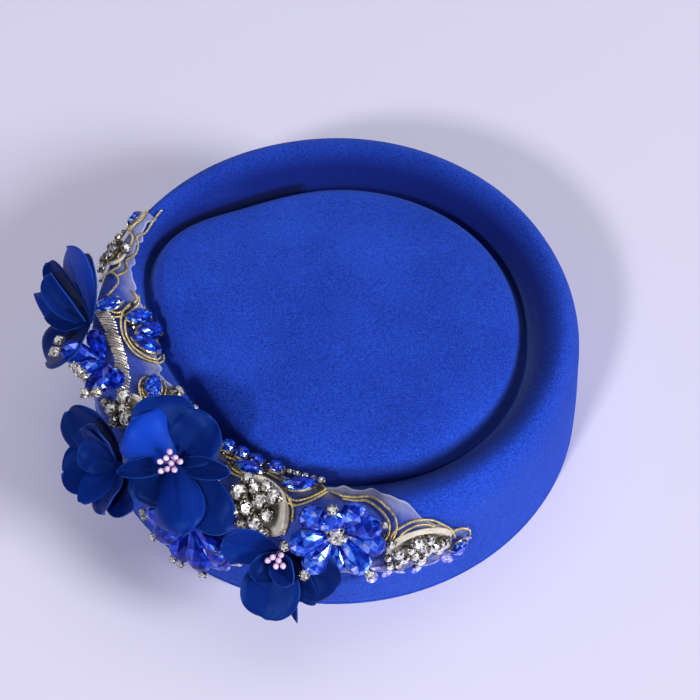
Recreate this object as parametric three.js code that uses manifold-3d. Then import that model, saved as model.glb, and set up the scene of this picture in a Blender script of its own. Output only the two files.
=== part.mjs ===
// A felt pillbox hat with a dished, teardrop-shaped tip and a beaded applique of
// leatherette flowers, drop beads, foil-backed stones and gold-edged leaves.
// Millimetres, +Z up. The hat stands on its brim edge; the front of the applique
// faces -Y and -X.
import * as THREE from "three";
import { mergeVertices } from "three/addons/utils/BufferGeometryUtils.js";
import Module from "manifold-3d";

const wasm = await Module();
wasm.setup();

// ---- driving sizes ----------------------------------------------------------
const wallRadius = 95;        // the side wall at its top, where it turns inward
const feltThickness = 2.5;
const gap = 0.3;              // air between pieces that touch
const organzaHeight = 0.6;    // underside of the organza above the felt
const organzaThickness = 0.7;
const organzaClearance = 0.15;
const trimHeight = organzaHeight + organzaThickness + gap;   // where sewn pieces start
const petalThickness = 1.0;
const dropLength = 14;
const dropWidth = 6.8;
const dropThickness = 0.8;    // a drop's thickness as a share of its width

// Radius of the dished tip every 30 degrees, counted from +X. Its blunt point is at 150.
const tipRadius = [73.2, 72.9, 71.0, 69.9, 70.5, 80.3, 67.5, 60.4, 65.0, 67.4, 70.9, 73.2];

// The felt's outer profile from the brim edge, up the wall, over the rolled rim, down
// into the crease and up onto the tip.
// from: wall = offset from wallRadius, rim = share of the way from wall to tip,
// tip = offset from the tip's radius, share = share of the tip's radius
const profileStations = [
  { from: "wall", at: 3.0, z: 0 },
  { from: "wall", at: 2.6, z: 14 },
  { from: "wall", at: 1.6, z: 30 },
  { from: "wall", at: 0.6, z: 43 },
  { from: "wall", at: -2.2, z: 50.8 },
  { from: "rim", at: 0.2, z: 53.6 },
  { from: "rim", at: 0.42, z: 52.8 },
  { from: "rim", at: 0.68, z: 49.6 },
  { from: "rim", at: 0.88, z: 44.6 },
  { from: "tip", at: 2.3, z: 39.4 },
  { from: "tip", at: -0.4, z: 43.4 },
  { from: "tip", at: -2.8, z: 48.0 },
  { from: "tip", at: -10, z: 50.6 },
  { from: "share", at: 0.5, z: 52.8 },
  { from: "share", at: 0, z: 54 },
];
const crest = 6;              // the station on the rolled rim from which reach is counted
const rimStart = -2.4;        // offset from wallRadius where the rim's shares begin
const rimEnd = 2.2;           // offset from the tip's radius where they end

// ---- small geometry helpers ---------------------------------------------------
const rad = THREE.MathUtils.degToRad;
const vec = (x, y, z) => new THREE.Vector3(x, y, z);
const range = (count) => Array.from({ length: count }, (_, i) => i);
const mix = THREE.MathUtils.lerp;

function smooth(p0, p1, p2, p3, t) {
  const a = -p0 + 3 * p1 - 3 * p2 + p3;
  const b = 2 * p0 - 5 * p1 + 4 * p2 - p3;
  return 0.5 * (2 * p1 + (p2 - p0) * t + b * t * t + a * t * t * t);
}

function tipRadiusAt(angle) {
  const count = tipRadius.length;
  const place = ((((angle % 360) + 360) % 360) / 360) * count;
  const i = Math.floor(place);
  const at = (k) => tipRadius[(i + k + count) % count];
  return smooth(at(-1), at(0), at(1), at(2), place - i);
}

// The profile's point at a station number, which may lie between two stations.
function profilePoint(angle, place) {
  const tip = tipRadiusAt(angle);
  const radius = ({ from, at }) => {
    if (from === "wall") return wallRadius + at;
    if (from === "tip") return tip + at;
    if (from === "share") return tip * at;
    return mix(wallRadius + rimStart, tip + rimEnd, at);
  };
  const last = profileStations.length - 1;
  const i = Math.min(Math.floor(place), last - 1);
  const near = [-1, 0, 1, 2].map((k) => profileStations[THREE.MathUtils.clamp(i + k, 0, last)]);
  const r = smooth(...near.map(radius), place - i);
  const z = smooth(...near.map((station) => station.z), place - i);
  return new THREE.Vector2(r, z);
}

// The same point moved out along the profile's normal.
function offsetPoint(angle, place, height) {
  const last = profileStations.length - 1;
  const step = 0.05;
  const before = profilePoint(angle, Math.max(place - step, 0));
  const after = profilePoint(angle, Math.min(place + step, last));
  const along = after.sub(before).normalize();
  return profilePoint(angle, place).add(new THREE.Vector2(along.y, -along.x).multiplyScalar(height));
}

// ---- places on the hat ----------------------------------------------------------
// reach is the distance along the felt from the crest station: positive down the wall,
// negative towards the tip.
const reachStep = 0.125;
const profileCache = new Map();

function measuredProfile(angle) {
  const key = angle.toFixed(3);
  if (!profileCache.has(key)) {
    const last = profileStations.length - 1;
    const places = range(last / reachStep + 1).map((i) => i * reachStep);
    const points = places.map((place) => profilePoint(angle, place));
    const length = [0];
    points.slice(1).forEach((p, i) => length.push(length[i] + p.distanceTo(points[i])));
    profileCache.set(key, { places, length, crestLength: length[crest / reachStep] });
  }
  return profileCache.get(key);
}

function placeAtReach(angle, reach) {
  const { places, length, crestLength } = measuredProfile(angle);
  const target = crestLength - reach;
  let i = length.findIndex((value) => value > target);
  if (i === -1) i = length.length - 1;
  if (i === 0) i = 1;
  return mix(places[i - 1], places[i], (target - length[i - 1]) / (length[i] - length[i - 1]));
}

function onHat(angle, reach, height) {
  const place = THREE.MathUtils.clamp(placeAtReach(angle, reach), 0, profileStations.length - 1);
  const { x: r, y: z } = offsetPoint(angle, place, height);
  return vec(r * Math.cos(rad(angle)), r * Math.sin(rad(angle)), z);
}

// A local chart of the hat: u runs along growing angle, v along growing reach, and
// h stands off the felt, so flat patterns wrap onto the curved surface.
function chart(angle, reach, turn = 0) {
  const radius = Math.hypot(onHat(angle, reach, 0).x, onHat(angle, reach, 0).y);
  const cos = Math.cos(rad(turn));
  const sin = Math.sin(rad(turn));
  return (u, v, h) => {
    const along = u * cos - v * sin;
    const down = u * sin + v * cos;
    return onHat(angle + THREE.MathUtils.radToDeg(along / radius), reach + down, h);
  };
}

// ---- closed bodies ---------------------------------------------------------------
// Skin over rings of points, capped at both ends.
function loft(rings) {
  const count = rings[0].length;
  const points = rings.flat();
  const faces = [];
  rings.slice(1).forEach((_, i) => {
    range(count).forEach((j) => {
      const a = i * count + j;
      const b = i * count + ((j + 1) % count);
      faces.push([a, b, b + count], [a, b + count, a + count]);
    });
  });
  [0, rings.length - 1].forEach((i) => {
    const middle = rings[i].reduce((sum, p) => sum.add(p), vec(0, 0, 0)).divideScalar(count);
    points.push(middle);
    range(count).forEach((j) => {
      const edge = [i * count + j, i * count + ((j + 1) % count)];
      faces.push(i === 0 ? [edge[1], edge[0], points.length - 1] : [...edge, points.length - 1]);
    });
  });
  return outward(points, faces);
}

function outward(points, faces) {
  const volume = faces.reduce((sum, [a, b, c]) => {
    return sum + points[a].dot(vec(0, 0, 0).crossVectors(points[b], points[c]));
  }, 0);
  const geometry = new THREE.BufferGeometry();
  const positions = points.flatMap((p) => [p.x, p.y, p.z]);
  geometry.setAttribute("position", new THREE.Float32BufferAttribute(positions, 3));
  geometry.setIndex(faces.flatMap(([a, b, c]) => (volume > 0 ? [a, b, c] : [a, c, b])));
  return geometry;
}

function toSolid(geometry) {
  const bare = geometry.clone();
  bare.deleteAttribute("normal");
  bare.deleteAttribute("uv");
  const merged = mergeVertices(bare, 1e-4);
  return new wasm.Manifold(new wasm.Mesh({
    numProp: 3,
    vertProperties: new Float32Array(merged.getAttribute("position").array),
    triVerts: new Uint32Array(merged.index.array),
  }));
}

function toGeometry(solid) {
  const mesh = solid.getMesh();
  const geometry = new THREE.BufferGeometry();
  geometry.setAttribute("position", new THREE.BufferAttribute(mesh.vertProperties, 3));
  geometry.setIndex(new THREE.BufferAttribute(mesh.triVerts, 1));
  return geometry;
}

function joined(geometries) {
  return toGeometry(geometries.map(toSolid).reduce((sum, solid) => sum.add(solid)));
}

// ---- felt shell ------------------------------------------------------------------
const feltSegments = 54;
const outerPlaces = [0, 1.5, 3, 3.5, 4, 4.5, 5, 5.5, 6, 7, 8, 8.5, 9, 9.5, 10, 11, 12, 13.6];
const innerPlaces = [2, 3.5, 4.5, 5, 5.6, 6.5, 8, 9, 10, 12, 13.6];

function ringAt(place, height, z) {
  return range(feltSegments).map((i) => {
    const angle = (i * 360) / feltSegments;
    const { x: r, y } = offsetPoint(angle, place, height);
    return vec(r * Math.cos(rad(angle)), r * Math.sin(rad(angle)), z ?? y);
  });
}

function feltShell() {
  const inside = innerPlaces.map((place) => ringAt(place, -feltThickness)).reverse();
  const outside = outerPlaces.map((place) => ringAt(place, 0, place === 0 ? 0 : undefined));
  return loft([...inside, ringAt(0, -feltThickness, 0), ...outside]);
}

// The whole space inside the felt's outer face and a margin over it: what is sewn on
// top is cut clear of it.
function hatMass(margin) {
  const sunk = -20;
  return loft([ringAt(0, margin, sunk), ...outerPlaces.map((place) => ringAt(place, margin))]);
}

// ---- organza ground ----------------------------------------------------------------
// Edges of the sheer ground that carries the applique.
const organzaEdges = [
  { angle: 146, inner: 0, outer: 4 },
  { angle: 154, inner: -1, outer: 9 },
  { angle: 162, inner: -2, outer: 11 },
  { angle: 170, inner: -5, outer: 14 },
  { angle: 178, inner: -12, outer: 18 },
  { angle: 186, inner: -13, outer: 22 },
  { angle: 194, inner: -11, outer: 25 },
  { angle: 202, inner: -9, outer: 28 },
  { angle: 210, inner: -12, outer: 32 },
  { angle: 220, inner: -11, outer: 38 },
  { angle: 230, inner: -10, outer: 45 },
  { angle: 240, inner: -12, outer: 47 },
  { angle: 250, inner: -12, outer: 44 },
  { angle: 260, inner: -7, outer: 38 },
  { angle: 270, inner: -6, outer: 36 },
  { angle: 278, inner: -4, outer: 38 },
  { angle: 284, inner: 2, outer: 39 },
  { angle: 290, inner: 12, outer: 40 },
  { angle: 296, inner: 22, outer: 40 },
  { angle: 300, inner: 26, outer: 34 },
];

// Reaches at which its rows have a point: close together over the rim's bend. Stops
// past an edge gather along it, a seam's width apart.
const organzaStops = [-14, -9, -6, -3, -1, 1, 3, 6, 9, 12, 16, 24, 34, 47];
const seam = 0.05;

// The edges at any angle between the table's rows.
function organzaEdgesAt(angle) {
  const next = Math.max(1, organzaEdges.findIndex((row) => row.angle >= angle));
  const [a, b] = [organzaEdges[next - 1], organzaEdges[next]];
  const share = (angle - a.angle) / (b.angle - a.angle);
  return { angle, inner: mix(a.inner, b.inner, share), outer: mix(a.outer, b.outer, share) };
}

// Its rows stand over the felt's own, so the two stay parallel.
function organzaGround(grow) {
  const low = organzaHeight - grow;
  const high = organzaHeight + organzaThickness + grow;
  const angles = range(feltSegments).map((i) => (i * 360) / feltSegments)
    .filter((angle) => angle >= organzaEdges[0].angle && angle <= organzaEdges.at(-1).angle);
  return loft(angles.map(organzaEdgesAt).map(({ angle, inner, outer }) => {
    const last = organzaStops.length - 1;
    const reaches = organzaStops.map((stop, i) => {
      return THREE.MathUtils.clamp(stop, inner + i * seam, outer - (last - i) * seam);
    });
    const row = (h) => reaches.map((reach) => onHat(angle, reach, h));
    return [...row(high), ...row(low).reverse()];
  }));
}

// ---- cords, bands and pads ------------------------------------------------------------
// A cord laid along [angle, reach] places, just clear of the organza.
const cordSides = 6;
const cordClearance = 0.15;

function laidCord({ route, width, lift = 0 }, grow) {
  const radius = width / 2 + grow;
  const section = new THREE.Shape(range(cordSides).map((i) => {
    const a = (i / cordSides) * 2 * Math.PI;
    return new THREE.Vector2(radius * Math.cos(a), radius * Math.sin(a));
  }));
  const height = trimHeight + lift + width / 2 + cordClearance;
  const centres = route.map(([angle, reach]) => onHat(angle, reach, height));
  const path = new THREE.CatmullRomCurve3(centres);
  const steps = (route.length - 1) * 2;
  return new THREE.ExtrudeGeometry(section, { extrudePath: path, steps, bevelEnabled: false });
}

// An oval cushion that follows the hat: flat below, domed above.
function ovalPad({ angle, reach, turn, long, wide, high, lift = 0 }, grow) {
  const sides = 12;
  const place = chart(angle, reach, turn);
  const ring = (share, h) => range(sides).map((i) => {
    const a = (i / sides) * 2 * Math.PI;
    const u = (long / 2 + grow) * share * Math.cos(a);
    return place(u, (wide / 2 + grow) * share * Math.sin(a), trimHeight + lift + h);
  });
  return loft([
    ring(0.45, -grow), ring(0.96, -grow),
    ring(1, high * 0.4), ring(0.8, high * 0.85 + grow), ring(0.4, high + grow),
  ]);
}

// ---- stones and beads ---------------------------------------------------------------
// Frame standing on the hat: the third axis is the felt's normal.
function frameOn(angle, reach, height, turn) {
  const origin = onHat(angle, reach, height);
  const normal = onHat(angle, reach, height + 1).sub(origin).normalize();
  const side = vec(-Math.sin(rad(angle)), Math.cos(rad(angle)), 0);
  const down = vec(0, 0, 0).crossVectors(normal, side).normalize().negate();
  const u = side.clone().multiplyScalar(Math.cos(rad(turn))).addScaledVector(down, Math.sin(rad(turn)));
  const v = vec(0, 0, 0).crossVectors(normal, u).normalize();
  return { origin, u, v, normal };
}

function inFrame({ origin, u, v, normal }, x, y, z) {
  return origin.clone().addScaledVector(u, x).addScaledVector(v, y).addScaledVector(normal, z);
}

// A cut stone: narrow foot, widest at the girdle, flat table. pointed > 1 draws the ends out.
function cutStone({ angle, reach, turn = 0, long, wide, high, lift = 0, pointed = 1 }, grow) {
  const frame = frameOn(angle, reach, trimHeight + lift, turn);
  const sides = 8;
  const ring = (share, z) => range(sides).map((i) => {
    const a = (i / sides) * 2 * Math.PI;
    const wideShare = Math.sign(Math.sin(a)) * Math.abs(Math.sin(a)) ** pointed;
    const x = (long / 2 + grow) * share * Math.cos(a);
    return inFrame(frame, x, (wide / 2 + grow) * share * wideShare, z);
  });
  return loft([
    ring(0.6, -grow), ring(1, high * 0.35), ring(1, high * 0.5), ring(0.55, high + grow),
  ]);
}

// A faceted drop bead: lies away from its flower's centre with its thick end outward.
const dropOutline = [
  { along: 0, wide: 0.22 },
  { along: 0.3, wide: 0.62 },
  { along: 0.68, wide: 1 },
  { along: 0.9, wide: 0.72 },
  { along: 1, wide: 0.3 },
];

function dropBead({ flower, turn, rise, start, length, width }, grow) {
  const frame = frameOn(flower.angle, flower.reach, trimHeight + flower.lift, turn);
  const axis = frame.u.clone().multiplyScalar(Math.cos(rad(rise)));
  axis.addScaledVector(frame.normal, Math.sin(rad(rise)));
  const over = vec(0, 0, 0).crossVectors(frame.v, axis).negate().normalize();
  const sides = 6;
  return loft(dropOutline.map(({ along, wide }) => {
    const reach = start + mix(-grow, length + grow, along);
    const centre = frame.origin.clone().addScaledVector(axis, reach);
    return range(sides).map((i) => {
      const a = ((i + 0.5) / sides) * 2 * Math.PI;
      const r = (width / 2) * wide + grow;
      return centre.clone().addScaledVector(frame.v, r * Math.cos(a))
        .addScaledVector(over, r * dropThickness * Math.sin(a));
    });
  }));
}

// Claw-set rhinestones sewn close together: one body on a thin common sole.
const soleThickness = 0.6;
const studHeight = 2.4;

function stoneCluster({ angle, reach, turn, lift, stones, size, long, wide }, grow) {
  const place = chart(angle, reach, turn);
  const base = trimHeight + lift;
  const oval = ({ sides, u = 0, v = 0, uRadius, vRadius, h }) => range(sides).map((i) => {
    const a = (i / sides) * 2 * Math.PI;
    return place(u + uRadius * Math.cos(a), v + vRadius * Math.sin(a), base + h);
  });
  const rim = (h) => oval({ sides: 8, uRadius: long / 2 + grow, vRadius: wide / 2 + grow, h });
  const sole = loft([rim(-grow), rim(soleThickness + grow)]);
  const studs = stones.map(([u, v, scale]) => {
    const radius = (size * scale) / 2;
    const ring = (r, h) => oval({ sides: 5, u, v, uRadius: r, vRadius: r, h });
    return loft([ring(radius + grow, 0.1), ring(radius * 0.7 + grow, studHeight * scale + grow)]);
  });
  return joined([sole, ...studs]);
}

// ---- leatherette flowers --------------------------------------------------------------
// Frame that looks along a compass angle and a rise above level: turn 0 is towards
// growing angle and turn 90 is up.
function flowerFrame({ angle, reach, height, faceAngle, faceRise }) {
  const a = rad(faceAngle);
  const e = rad(faceRise);
  const normal = vec(Math.cos(e) * Math.cos(a), Math.cos(e) * Math.sin(a), Math.sin(e));
  const u = vec(-Math.sin(a), Math.cos(a), 0);
  const v = vec(0, 0, 0).crossVectors(normal, u);
  return { origin: onHat(angle, reach, height), u, v, normal };
}

// Half width of a petal along its length, as a share of its widest.
const petalWidth = (a) => Math.sin(Math.PI * (0.03 + 0.97 * a ** 0.85)) ** 0.65;

function petal(frame, { turn, length, width, rise, bend, cup }, lift, grow) {
  const lengths = [0, 0.25, 0.6, 0.86, 0.98];
  const across = [-1, 0, 1];
  const half = petalThickness / 2 + grow;
  const out = frame.u.clone().multiplyScalar(Math.cos(rad(turn)));
  out.addScaledVector(frame.v, Math.sin(rad(turn)));
  const side = vec(0, 0, 0).crossVectors(frame.normal, out);
  const steps = 24;
  const spine = (a) => {
    const sum = { along: 0, up: 0 };
    const count = Math.max(1, Math.round(a * steps));
    range(count).forEach((i) => {
      const slope = rad(rise + bend * ((i + 0.5) / count) * a);
      sum.along += ((a * (length + grow)) / count) * Math.cos(slope);
      sum.up += ((a * (length + grow)) / count) * Math.sin(slope);
    });
    return sum;
  };
  return loft(lengths.map((a) => {
    const { along, up } = spine(a);
    const slope = rad(rise + bend * a);
    const centre = frame.origin.clone().addScaledVector(out, along);
    centre.addScaledVector(frame.normal, up + lift);
    const over = frame.normal.clone().multiplyScalar(Math.cos(slope));
    over.addScaledVector(out, -Math.sin(slope));
    const wide = (width / 2) * petalWidth(a) + grow;
    const row = (h) => across.map((b) => {
      return centre.clone().addScaledVector(side, b * wide)
        .addScaledVector(over, cup * b * b * petalWidth(a) + h);
    });
    return [...row(half), ...row(-half).reverse()];
  }));
}

const hubRadius = 3.2;
const footRadius = 2.2;

// The gathered foot below a flower's centre, by which it is sewn to the ground.
function gatheredFoot(flower, grow) {
  const ring = (frame, radius, z) => range(8).map((i) => {
    const a = (i / 8) * 2 * Math.PI;
    return inFrame(frame, (radius + grow) * Math.cos(a), (radius + grow) * Math.sin(a), z);
  });
  const ground = frameOn(flower.angle, flower.reach, trimHeight, 0);
  return loft([ring(ground, footRadius, 0), ring(flowerFrame(flower), hubRadius - 0.4, 0)]);
}

function petalLayer(flower, petals, lift, grow) {
  const frame = flowerFrame(flower);
  const sides = 8;
  const disc = (r, h) => range(sides).map((i) => {
    const a = (i / sides) * 2 * Math.PI;
    return inFrame(frame, r * Math.cos(a), r * Math.sin(a), h + lift);
  });
  const half = petalThickness / 2 + grow;
  const hub = loft([disc(hubRadius + grow, -half), disc(hubRadius + grow, half)]);
  const foot = lift > 0 ? [] : [gatheredFoot(flower, grow)];
  return joined([hub, ...foot, ...petals.map((shape) => petal(frame, shape, lift, grow))]);
}

function stamens(flower, lift, count, grow) {
  const frame = flowerFrame(flower);
  const lean = 1.9;
  const bundle = range(count).map((i) => {
    const a = (i / count) * 2 * Math.PI;
    const out = i === 0 ? 0 : lean;
    const ring = (r, h, share) => range(4).map((j) => {
      const b = (j / 4) * 2 * Math.PI;
      const x = out * share * Math.cos(a) + r * Math.cos(b);
      return inFrame(frame, x, out * share * Math.sin(a) + r * Math.sin(b), lift + h);
    });
    return loft([ring(0.7 + grow, -grow, 0.4), ring(1.1 + grow, 3, 1), ring(0.7 + grow, 4.6 + grow, 1.1)]);
  });
  return joined(bundle);
}

// ---- what is sewn on, and where ----------------------------------------------------------
// Sizes in mm; angle in degrees from +X, reach in mm from the crest of the rim.
const pads = [
  { name: "pad_far", angle: 160.5, reach: 4, turn: 0, long: 14, wide: 7, high: 1.8 },
  { name: "pad_upper", angle: 210, reach: 9, turn: 20, long: 11, wide: 10, high: 2.2 },
  { name: "pad_middle", angle: 252, reach: 7, turn: 35, long: 24, wide: 17, high: 2.6 },
  { name: "pad_lower", angle: 288, reach: 23, turn: 5, long: 25, wide: 13, high: 2.4 },
];

// stones: [u, v, scale] on the cushion named before them
const clusters = [
  {
    name: "rhinestones_far", angle: 160, reach: 5, turn: 0, lift: 2.3, size: 4, long: 12, wide: 5,
    stones: [[-4.4, -0.4, 1], [-0.6, 0.9, 1], [2.2, -1, 0.9], [4.8, 0.8, 0.9]],
  },
  {
    name: "rhinestones_upper", angle: 210, reach: 10.5, turn: 20, lift: 2.7, size: 4, long: 9, wide: 8,
    stones: [[-2.4, -2, 1], [2.2, -1.8, 0.9], [0, 2.2, 1.1]],
  },
  {
    name: "rhinestones_middle", angle: 251, reach: 8.5, turn: 35, lift: 3.1, size: 4.6, long: 20, wide: 12,
    stones: [[-7.2, -1.5, 1.2], [-2.6, 0.9, 1.1], [2.4, 2.6, 1], [7.2, 2, 1.1], [2.6, -2.6, 0.9]],
  },
  {
    name: "rhinestones_lower", angle: 288, reach: 23, turn: 5, lift: 2.9, size: 4.2, long: 20, wide: 9,
    stones: [[-7, 1.8, 0.8], [-3.6, -0.8, 0.9], [0.4, -2.4, 1.2], [3, 1.6, 0.9], [7.4, -1, 1]],
  },
];

const cords = [
  {
    name: "purl_band", width: 3,
    route: [[180, 6.6], [184, 4.6], [189, 4], [194, 3.8], [200, 5.2], [206, 9]],
  },
  {
    name: "gold_edge_upper", width: 1.6,
    route: [[174, -5], [177, -1.5], [181, -1], [186, -0.5], [190, -2], [193, -4], [196, -9]],
  },
  {
    name: "gold_edge_side", width: 1.6,
    route: [[205, -7], [208, -6.5], [211.5, -3], [212, 1], [209, 2.5], [206, 1.5], [203.5, -0.5]],
  },
  {
    name: "gold_edge_lower", width: 1.6,
    route: [[270, -2], [274, -1], [278, 0], [281, 3], [283.5, 8], [283.5, 13], [281, 19]],
  },
];

const marquises = [
  { name: "marquise_far", angle: 149, reach: 4, turn: 0, long: 7.5, wide: 3.8, high: 2.6 },
  { name: "marquise_left", angle: 175, reach: 4, turn: 72, long: 13, wide: 5.6, high: 3 },
  { name: "marquise_leaf_1", angle: 179, reach: -5, turn: 60, long: 10, wide: 5, high: 3 },
  { name: "marquise_leaf_2", angle: 183, reach: -10, turn: 58, long: 12, wide: 6.4, high: 4, lift: 0.4 },
  { name: "marquise_leaf_3", angle: 190.5, reach: -7.5, turn: 112, long: 11, wide: 5, high: 3 },
  { name: "marquise_side", angle: 206, reach: -2.6, turn: 25, long: 12.5, wide: 6.4, high: 3.4 },
  { name: "marquise_inner", angle: 245, reach: -4.5, turn: 0, long: 11.5, wide: 5.4, high: 3.4 },
  { name: "marquise_bright", angle: 260, reach: -3.5, turn: -25, long: 14, wide: 6.4, high: 3.6 },
  { name: "marquise_end", angle: 297, reach: 34, turn: -20, long: 7.6, wide: 4.6, high: 3.2 },
];
const rounds = [
  { name: "round_side", angle: 210, reach: -9.5, across: 6, high: 4 },
  { name: "round_blue_side", angle: 213.5, reach: -10, across: 5, high: 3.4 },
  { name: "round_inner_1", angle: 235.5, reach: -9.5, across: 6.4, high: 5 },
  { name: "round_inner_2", angle: 240, reach: -10.5, across: 6.4, high: 5 },
  { name: "round_inner_3", angle: 245, reach: -10.5, across: 6.4, high: 5 },
  { name: "round_inner_4", angle: 251.5, reach: -10.5, across: 6.4, high: 5 },
];
const marquisePoint = 1.6;    // how far a marquise's ends are drawn out; 1 is round
const stones = [
  ...marquises.map((stone) => ({ ...stone, pointed: marquisePoint })),
  ...rounds.map(({ across, ...stone }) => ({ ...stone, long: across, wide: across })),
];

// Bead flowers: drops start at the given distance from the centre. turn 0 is towards
// growing angle, turn 90 is down the wall; size scales a drop.
const beadFlowers = [
  {
    name: "bead_flower_front", angle: 270, reach: 12, lift: 1.6, start: 4.4, crystal: 8.6,
    drops: [
      { turn: 90, rise: 8, size: 0.86 }, { turn: 52, rise: 8, size: 1 }, { turn: 14, rise: 10, size: 1 },
      { turn: -24, rise: 14, size: 1 }, { turn: -60, rise: 18, size: 1 }, { turn: -94, rise: 26, size: 0.96 },
      { turn: -134, rise: 16, size: 1 }, { turn: 174, rise: 12, size: 1 }, { turn: 130, rise: 8, size: 1 },
    ],
  },
  {
    name: "bead_flower_side", angle: 195, reach: 8, lift: 1.4, start: 1.6, crystal: 0,
    drops: [
      { turn: 122, rise: 24, size: 1.2 }, { turn: 66, rise: 34, size: 0.8 },
      { turn: 20, rise: 26, size: 1.25 }, { turn: 172, rise: 18, size: 0.9 },
    ],
  },
  {
    name: "bead_flower_corner", angle: 238, reach: 25, lift: 0.7, start: 2.4, crystal: 0,
    drops: [
      { turn: 166, rise: 12, size: 1.05 }, { turn: 132, rise: 16, size: 1.05 },
      { turn: 94, rise: 20, size: 1.1 }, { turn: 58, rise: 16, size: 1.1 },
      { turn: 22, rise: 10, size: 1.05 },
    ],
  },
];

// Flowers: faceAngle and faceRise say where the flower looks. A petal's slope starts at
// rise and changes by bend along it; cup lifts its sides, or drops them if negative.
const flowers = [
  {
    name: "flower_far", angle: 184, reach: 8.6, height: 6.5, faceAngle: 185, faceRise: 30, stamens: 0,
    outer: [
      { turn: 192, length: 34, width: 12, rise: 30, bend: 6, cup: 2 },
      { turn: 149, length: 27, width: 20, rise: 14, bend: 6, cup: 2.5 },
      { turn: 162, length: 31, width: 19, rise: 26, bend: 4, cup: -3 },
      { turn: 222, length: 33, width: 16, rise: 32, bend: -8, cup: 2 },
      { turn: 297, length: 23, width: 31, rise: 28, bend: 6, cup: 3 },
    ],
    inner: [
      { turn: 158, length: 23, width: 12, rise: 46, bend: -6, cup: 5 },
      { turn: 244, length: 18, width: 10, rise: 48, bend: -10, cup: 2 },
    ],
  },
  {
    name: "flower_left", angle: 218, reach: 19.5, height: 6.5, faceAngle: 205, faceRise: 38, stamens: 0,
    outer: [
      { turn: 181, length: 29, width: 20, rise: 26, bend: 8, cup: 2.5 },
      { turn: 241, length: 24, width: 21, rise: 28, bend: 8, cup: 2.5 },
      { turn: 289, length: 21, width: 14, rise: 34, bend: 6, cup: 2 },
      { turn: 330, length: 22, width: 19, rise: 30, bend: 4, cup: 2.5 },
      { turn: 352, length: 23, width: 16, rise: 16, bend: 4, cup: 2.5 },
    ],
    inner: [
      { turn: 165, length: 19, width: 13, rise: 46, bend: 6, cup: 3 },
      { turn: 196, length: 15, width: 15, rise: 50, bend: 2, cup: 3 },
      { turn: 126, length: 20, width: 14, rise: 44, bend: 6, cup: 3 },
    ],
  },
  {
    name: "flower_top", angle: 230, reach: 8.7, height: 6.5, faceAngle: 250, faceRise: 60, stamens: 5,
    outer: [
      { turn: 116, length: 26, width: 25, rise: 10, bend: 4, cup: 2 },
      { turn: 62, length: 23, width: 21, rise: 14, bend: 6, cup: 3 },
      { turn: 8, length: 23, width: 9, rise: 12, bend: 4, cup: 3 },
      { turn: 327, length: 32, width: 18, rise: 4, bend: 6, cup: 2 },
      { turn: 241, length: 19, width: 16, rise: 8, bend: 6, cup: 2 },
      { turn: 206, length: 21, width: 8, rise: 16, bend: 4, cup: 3 },
    ],
    inner: [
      { turn: 151, length: 23, width: 23, rise: 26, bend: -6, cup: -4 },
      { turn: 298, length: 28, width: 19, rise: 22, bend: -4, cup: -3 },
    ],
  },
  {
    name: "flower_lower", angle: 258, reach: 19, height: 6.5, faceAngle: 262, faceRise: 38, stamens: 4,
    outer: [
      { turn: 170, length: 21, width: 14, rise: 10, bend: 6, cup: 2 },
      { turn: 263, length: 25, width: 22, rise: 16, bend: 8, cup: 2.5 },
      { turn: 290, length: 27, width: 8, rise: 8, bend: 4, cup: 2 },
      { turn: 336, length: 25, width: 21, rise: 8, bend: 8, cup: 2 },
      { turn: 309, length: 24, width: 11, rise: 4, bend: 4, cup: 2 },
    ],
    inner: [
      { turn: 226, length: 13, width: 11, rise: 34, bend: 2, cup: 3 },
      { turn: 309, length: 13, width: 10, rise: 40, bend: 2, cup: 4 },
    ],
  },
];
const crystalHeight = 6;
const innerLayerLift = 2.2;
const stamenLift = 3.6;

// ---- materials -----------------------------------------------------------------------
const finishes = {
  felt: { color: 0x0a2fae, roughness: 0.95, metalness: 0 },
  organza: { color: 0xb9b6cf, roughness: 0.6, metalness: 0 },
  pad: { color: 0xd9cdb8, roughness: 0.9, metalness: 0 },
  purl: { color: 0xcfc39a, roughness: 0.35, metalness: 0.8 },
  gold: { color: 0xb89a4e, roughness: 0.35, metalness: 0.9 },
  rhinestone: { color: 0xe9e6e0, roughness: 0.1, metalness: 0.3 },
  blueStone: { color: 0x1f3fe0, roughness: 0.08, metalness: 0.2 },
  blueDrop: { color: 0x2a48e8, roughness: 0.06, metalness: 0.1 },
  petal: { color: 0x0b2a7e, roughness: 0.55, metalness: 0 },
  stamen: { color: 0xc9a9cf, roughness: 0.6, metalness: 0 },
};

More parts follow.
